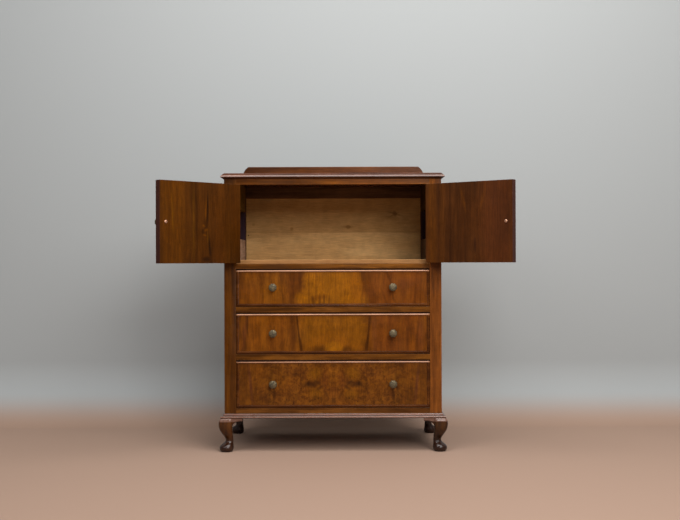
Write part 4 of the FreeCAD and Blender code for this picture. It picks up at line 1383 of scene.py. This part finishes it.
MIDDLE_FIGURE = figure(
    (-227, 426, 70, 140, 0, AMBER, 0.4, 0.5), (-1, 419, 116, 119, 0, GOLD, 0.48, 0.2),
    (-3, 369, 91, 28, 0, AMBER, 0.35, 0.6), (-123, 440, 3, 56, 6, DARK, 0.75, 0.5),
    (-113, 369, 5, 35, 8, DARK, 0.8, 0.5), (-48, 354, 28, 15, 0, DARK, 0.65, 0.6),
    (50, 354, 21, 15, 0, DARK, 0.65, 0.6), (3, 364, 30, 21, 0, GOLD, 0.8, 0.3),
    (-17, 411, 42, 11, 18, BROWN, 0.2, 0.9), (-311, 411, 8, 77, -9, PURPLE, 0.45, 0.7),
    (-300, 454, 3, 49, 0, DARK, 0.6, 0.5), (-327, 369, 9, 32, -14, AMBER, 0.5, 0.6),
    (-141, 411, 11, 140, 0, BROWN, 0.45, 0.6), (-178, 411, 6, 140, 0, BROWN, 0.35, 0.7),
    (232, 415, 91, 210, 0, RED, 0.5, 0.3), (127, 440, 4, 63, -6, DARK, 0.8, 0.5),
    (119, 373, 6, 35, -8, DARK, 0.7, 0.5), (145, 415, 8, 84, 0, PURPLE, 0.4, 0.7),
    (180, 369, 28, 28, 0, RED, 0.3, 0.9), (250, 390, 21, 32, 0, BROWN, 0.3, 0.9),
    (309, 415, 12, 84, 0, PURPLE, 0.4, 0.7), (296, 400, 3, 60, -4, DARK, 0.35, 0.7),
    (278, 373, 11, 35, 0, AMBER, 0.35, 0.7),
)
LOWER_FIGURE = figure(
    (0, 236, 133, 91, 0, AMBER, 0.35, 0.5), (69, 273, 25, 18, -24, GOLD, 0.5, 0.6),
    (105, 273, 7, 28, -24, BROWN, 0.6, 0.7), (42, 278, 5, 25, -12, DARK, 0.4, 0.7),
    (61, 203, 23, 18, 0, GOLD, 0.45, 0.7), (74, 234, 26, 9, -6, KNOT, 0.7, 0.9),
    (91, 238, 8, 8, 0, KNOT, 0.7, 0.9), (46, 224, 18, 5, -32, KNOT, 0.6, 0.9),
    (62, 246, 14, 4, 30, KNOT, 0.5, 0.9), (118, 224, 18, 7, -34, DARK, 0.35, 0.9),
    (112, 250, 5, 20, 20, DARK, 0.3, 0.9), (29, 247, 11, 28, 0, RED, 0.45, 0.8),
    (27, 203, 4, 21, -30, DARK, 0.4, 0.8), (56, 186, 22, 6, 18, DARK, 0.3, 0.9),
    (0, 177, 9, 9, 0, KNOT, 0.6, 0.8), (0, 301, 8, 6, 0, KNOT, 0.4, 0.8),
    (0, 212, 13, 18, 0, RED, 0.4, 0.8), (210, 196, 5, 34, 4, DARK, 0.7, 0.7),
    (222, 250, 5, 60, 6, DARK, 0.3, 0.8), (169, 243, 28, 49, 0, AMBER, 0.35, 0.8),
    (262, 264, 28, 49, -16, AMBER, 0.3, 0.8), (274, 220, 5, 40, 12, DARK, 0.4, 0.8),
    (292, 240, 5, 63, -6, PURPLE, 0.6, 0.7), (312, 230, 12, 60, 0, BROWN, 0.4, 0.8),
    (170, 290, 40, 5, -10, BROWN, 0.3, 0.9), (180, 200, 30, 6, 16, BROWN, 0.35, 0.9),
)
LEFT_DOOR_FIGURE = figure(
    (-58, 798, 50, 400, 0, AMBER, 0.4, 0.6), (-178, 798, 22, 400, 0, BROWN, 0.5, 0.7),
    (-189, 838, 2.4, 34, 2, AMBER, 0.6, 0.7), (-196, 840, 4.0, 52, 2, KNOT, 0.95, 0.6),
    (-187, 792, 10, 22, 0, DARK, 0.5, 0.8), (-180, 788, 6, 4, 20, AMBER, 0.5, 0.7),
    (-190, 774, 7, 4, -20, AMBER, 0.5, 0.7), (-176, 768, 5, 8, 0, KNOT, 0.6, 0.7),
    (-194, 758, 6, 8, 0, KNOT, 0.4, 0.8), (-184, 756, 8, 3, 12, AMBER, 0.5, 0.7),
    (-197, 750, 2.4, 16, -4, GOLD, 0.35, 0.7), (-206, 704, 4.4, 48, -6, KNOT, 0.95, 0.6),
    (-191, 676, 24, 13, 0, BROWN, 0.5, 0.6), (-191, 675, 15, 8, 0, KNOT, 0.75, 0.6),
    (-245, 798, 30, 400, 0, RED, 0.25, 0.7), (-320, 850, 30, 130, 0, BROWN, 0.6, 0.8),
    (-52, 830, 4, 60, -3, GOLD, 0.3, 0.7), (-70, 860, 3, 60, 0, DARK, 0.3, 0.8),
    (-152, 850, 5, 90, 2, DARK, 0.35, 0.8), (-86, 760, 3, 70, 3, DARK, 0.3, 0.8),
    (-138, 800, 4, 120, 0, GOLD, 0.25, 0.8), (-40, 798, 5, 300, 0, BROWN, 0.3, 0.8),
    (-112, 798, 6, 300, 0, BROWN, 0.35, 0.8),
)
RIGHT_DOOR_FIGURE = figure(
    (312, 798, 18, 300, 0, AMBER, 0.35, 0.6), (272, 798, 12, 300, 0, AMBER, 0.15, 0.6),
    (240, 798, 3, 300, 0, DARK, 0.4, 0.7), (150, 812, 40, 70, 0, BROWN, 0.4, 0.8),
    (142, 720, 4, 24, 0, KNOT, 0.6, 0.7), (150, 716, 14, 20, 0, DARK, 0.4, 0.8),
    (96, 740, 6, 30, 0, DARK, 0.35, 0.8), (112, 880, 5, 40, 14, AMBER, 0.3, 0.8),
    (190, 880, 5, 40, -14, AMBER, 0.3, 0.8), (190, 798, 5, 300, 0, BROWN, 0.3, 0.8),
    (60, 798, 60, 300, 0, RED, 0.4, 0.5),
)


def main() -> None:
    """Build the tallboy and its studio."""
    logging.basicConfig(level=logging.INFO, format="%(name)s %(message)s")
    bench = Bench()
    hinges = Hinges(bench)
    Effects().build()
    Studio().build()
    Case(bench).build()
    Cupboard(bench).build()
    Legs(bench).build()
    hinges.build()
    Door(bench, hinges, Side.LEFT, 135.5, LEFT_DOOR_FIGURE, (0.6, 0.62, 0.6)).build()
    # The right door's stain sets its tone and also lifts its blue as a painted cool reflection.
    Door(bench, hinges, Side.RIGHT, 143.0, RIGHT_DOOR_FIGURE, (0.66, 0.68, 1.6)).build()
    Drawer(bench, "upper", UPPER_FIGURE, (0.86, 0.82, 0.9), 0.57525).build()
    Drawer(bench, "middle", MIDDLE_FIGURE, (0.80, 0.77, 0.9), 0.41400).build()
    Drawer(bench, "lower", LOWER_FIGURE, (0.66, 0.66, 1.0), 0.23650, mirror=0.002).build()


if __name__ == "__main__":
    main()
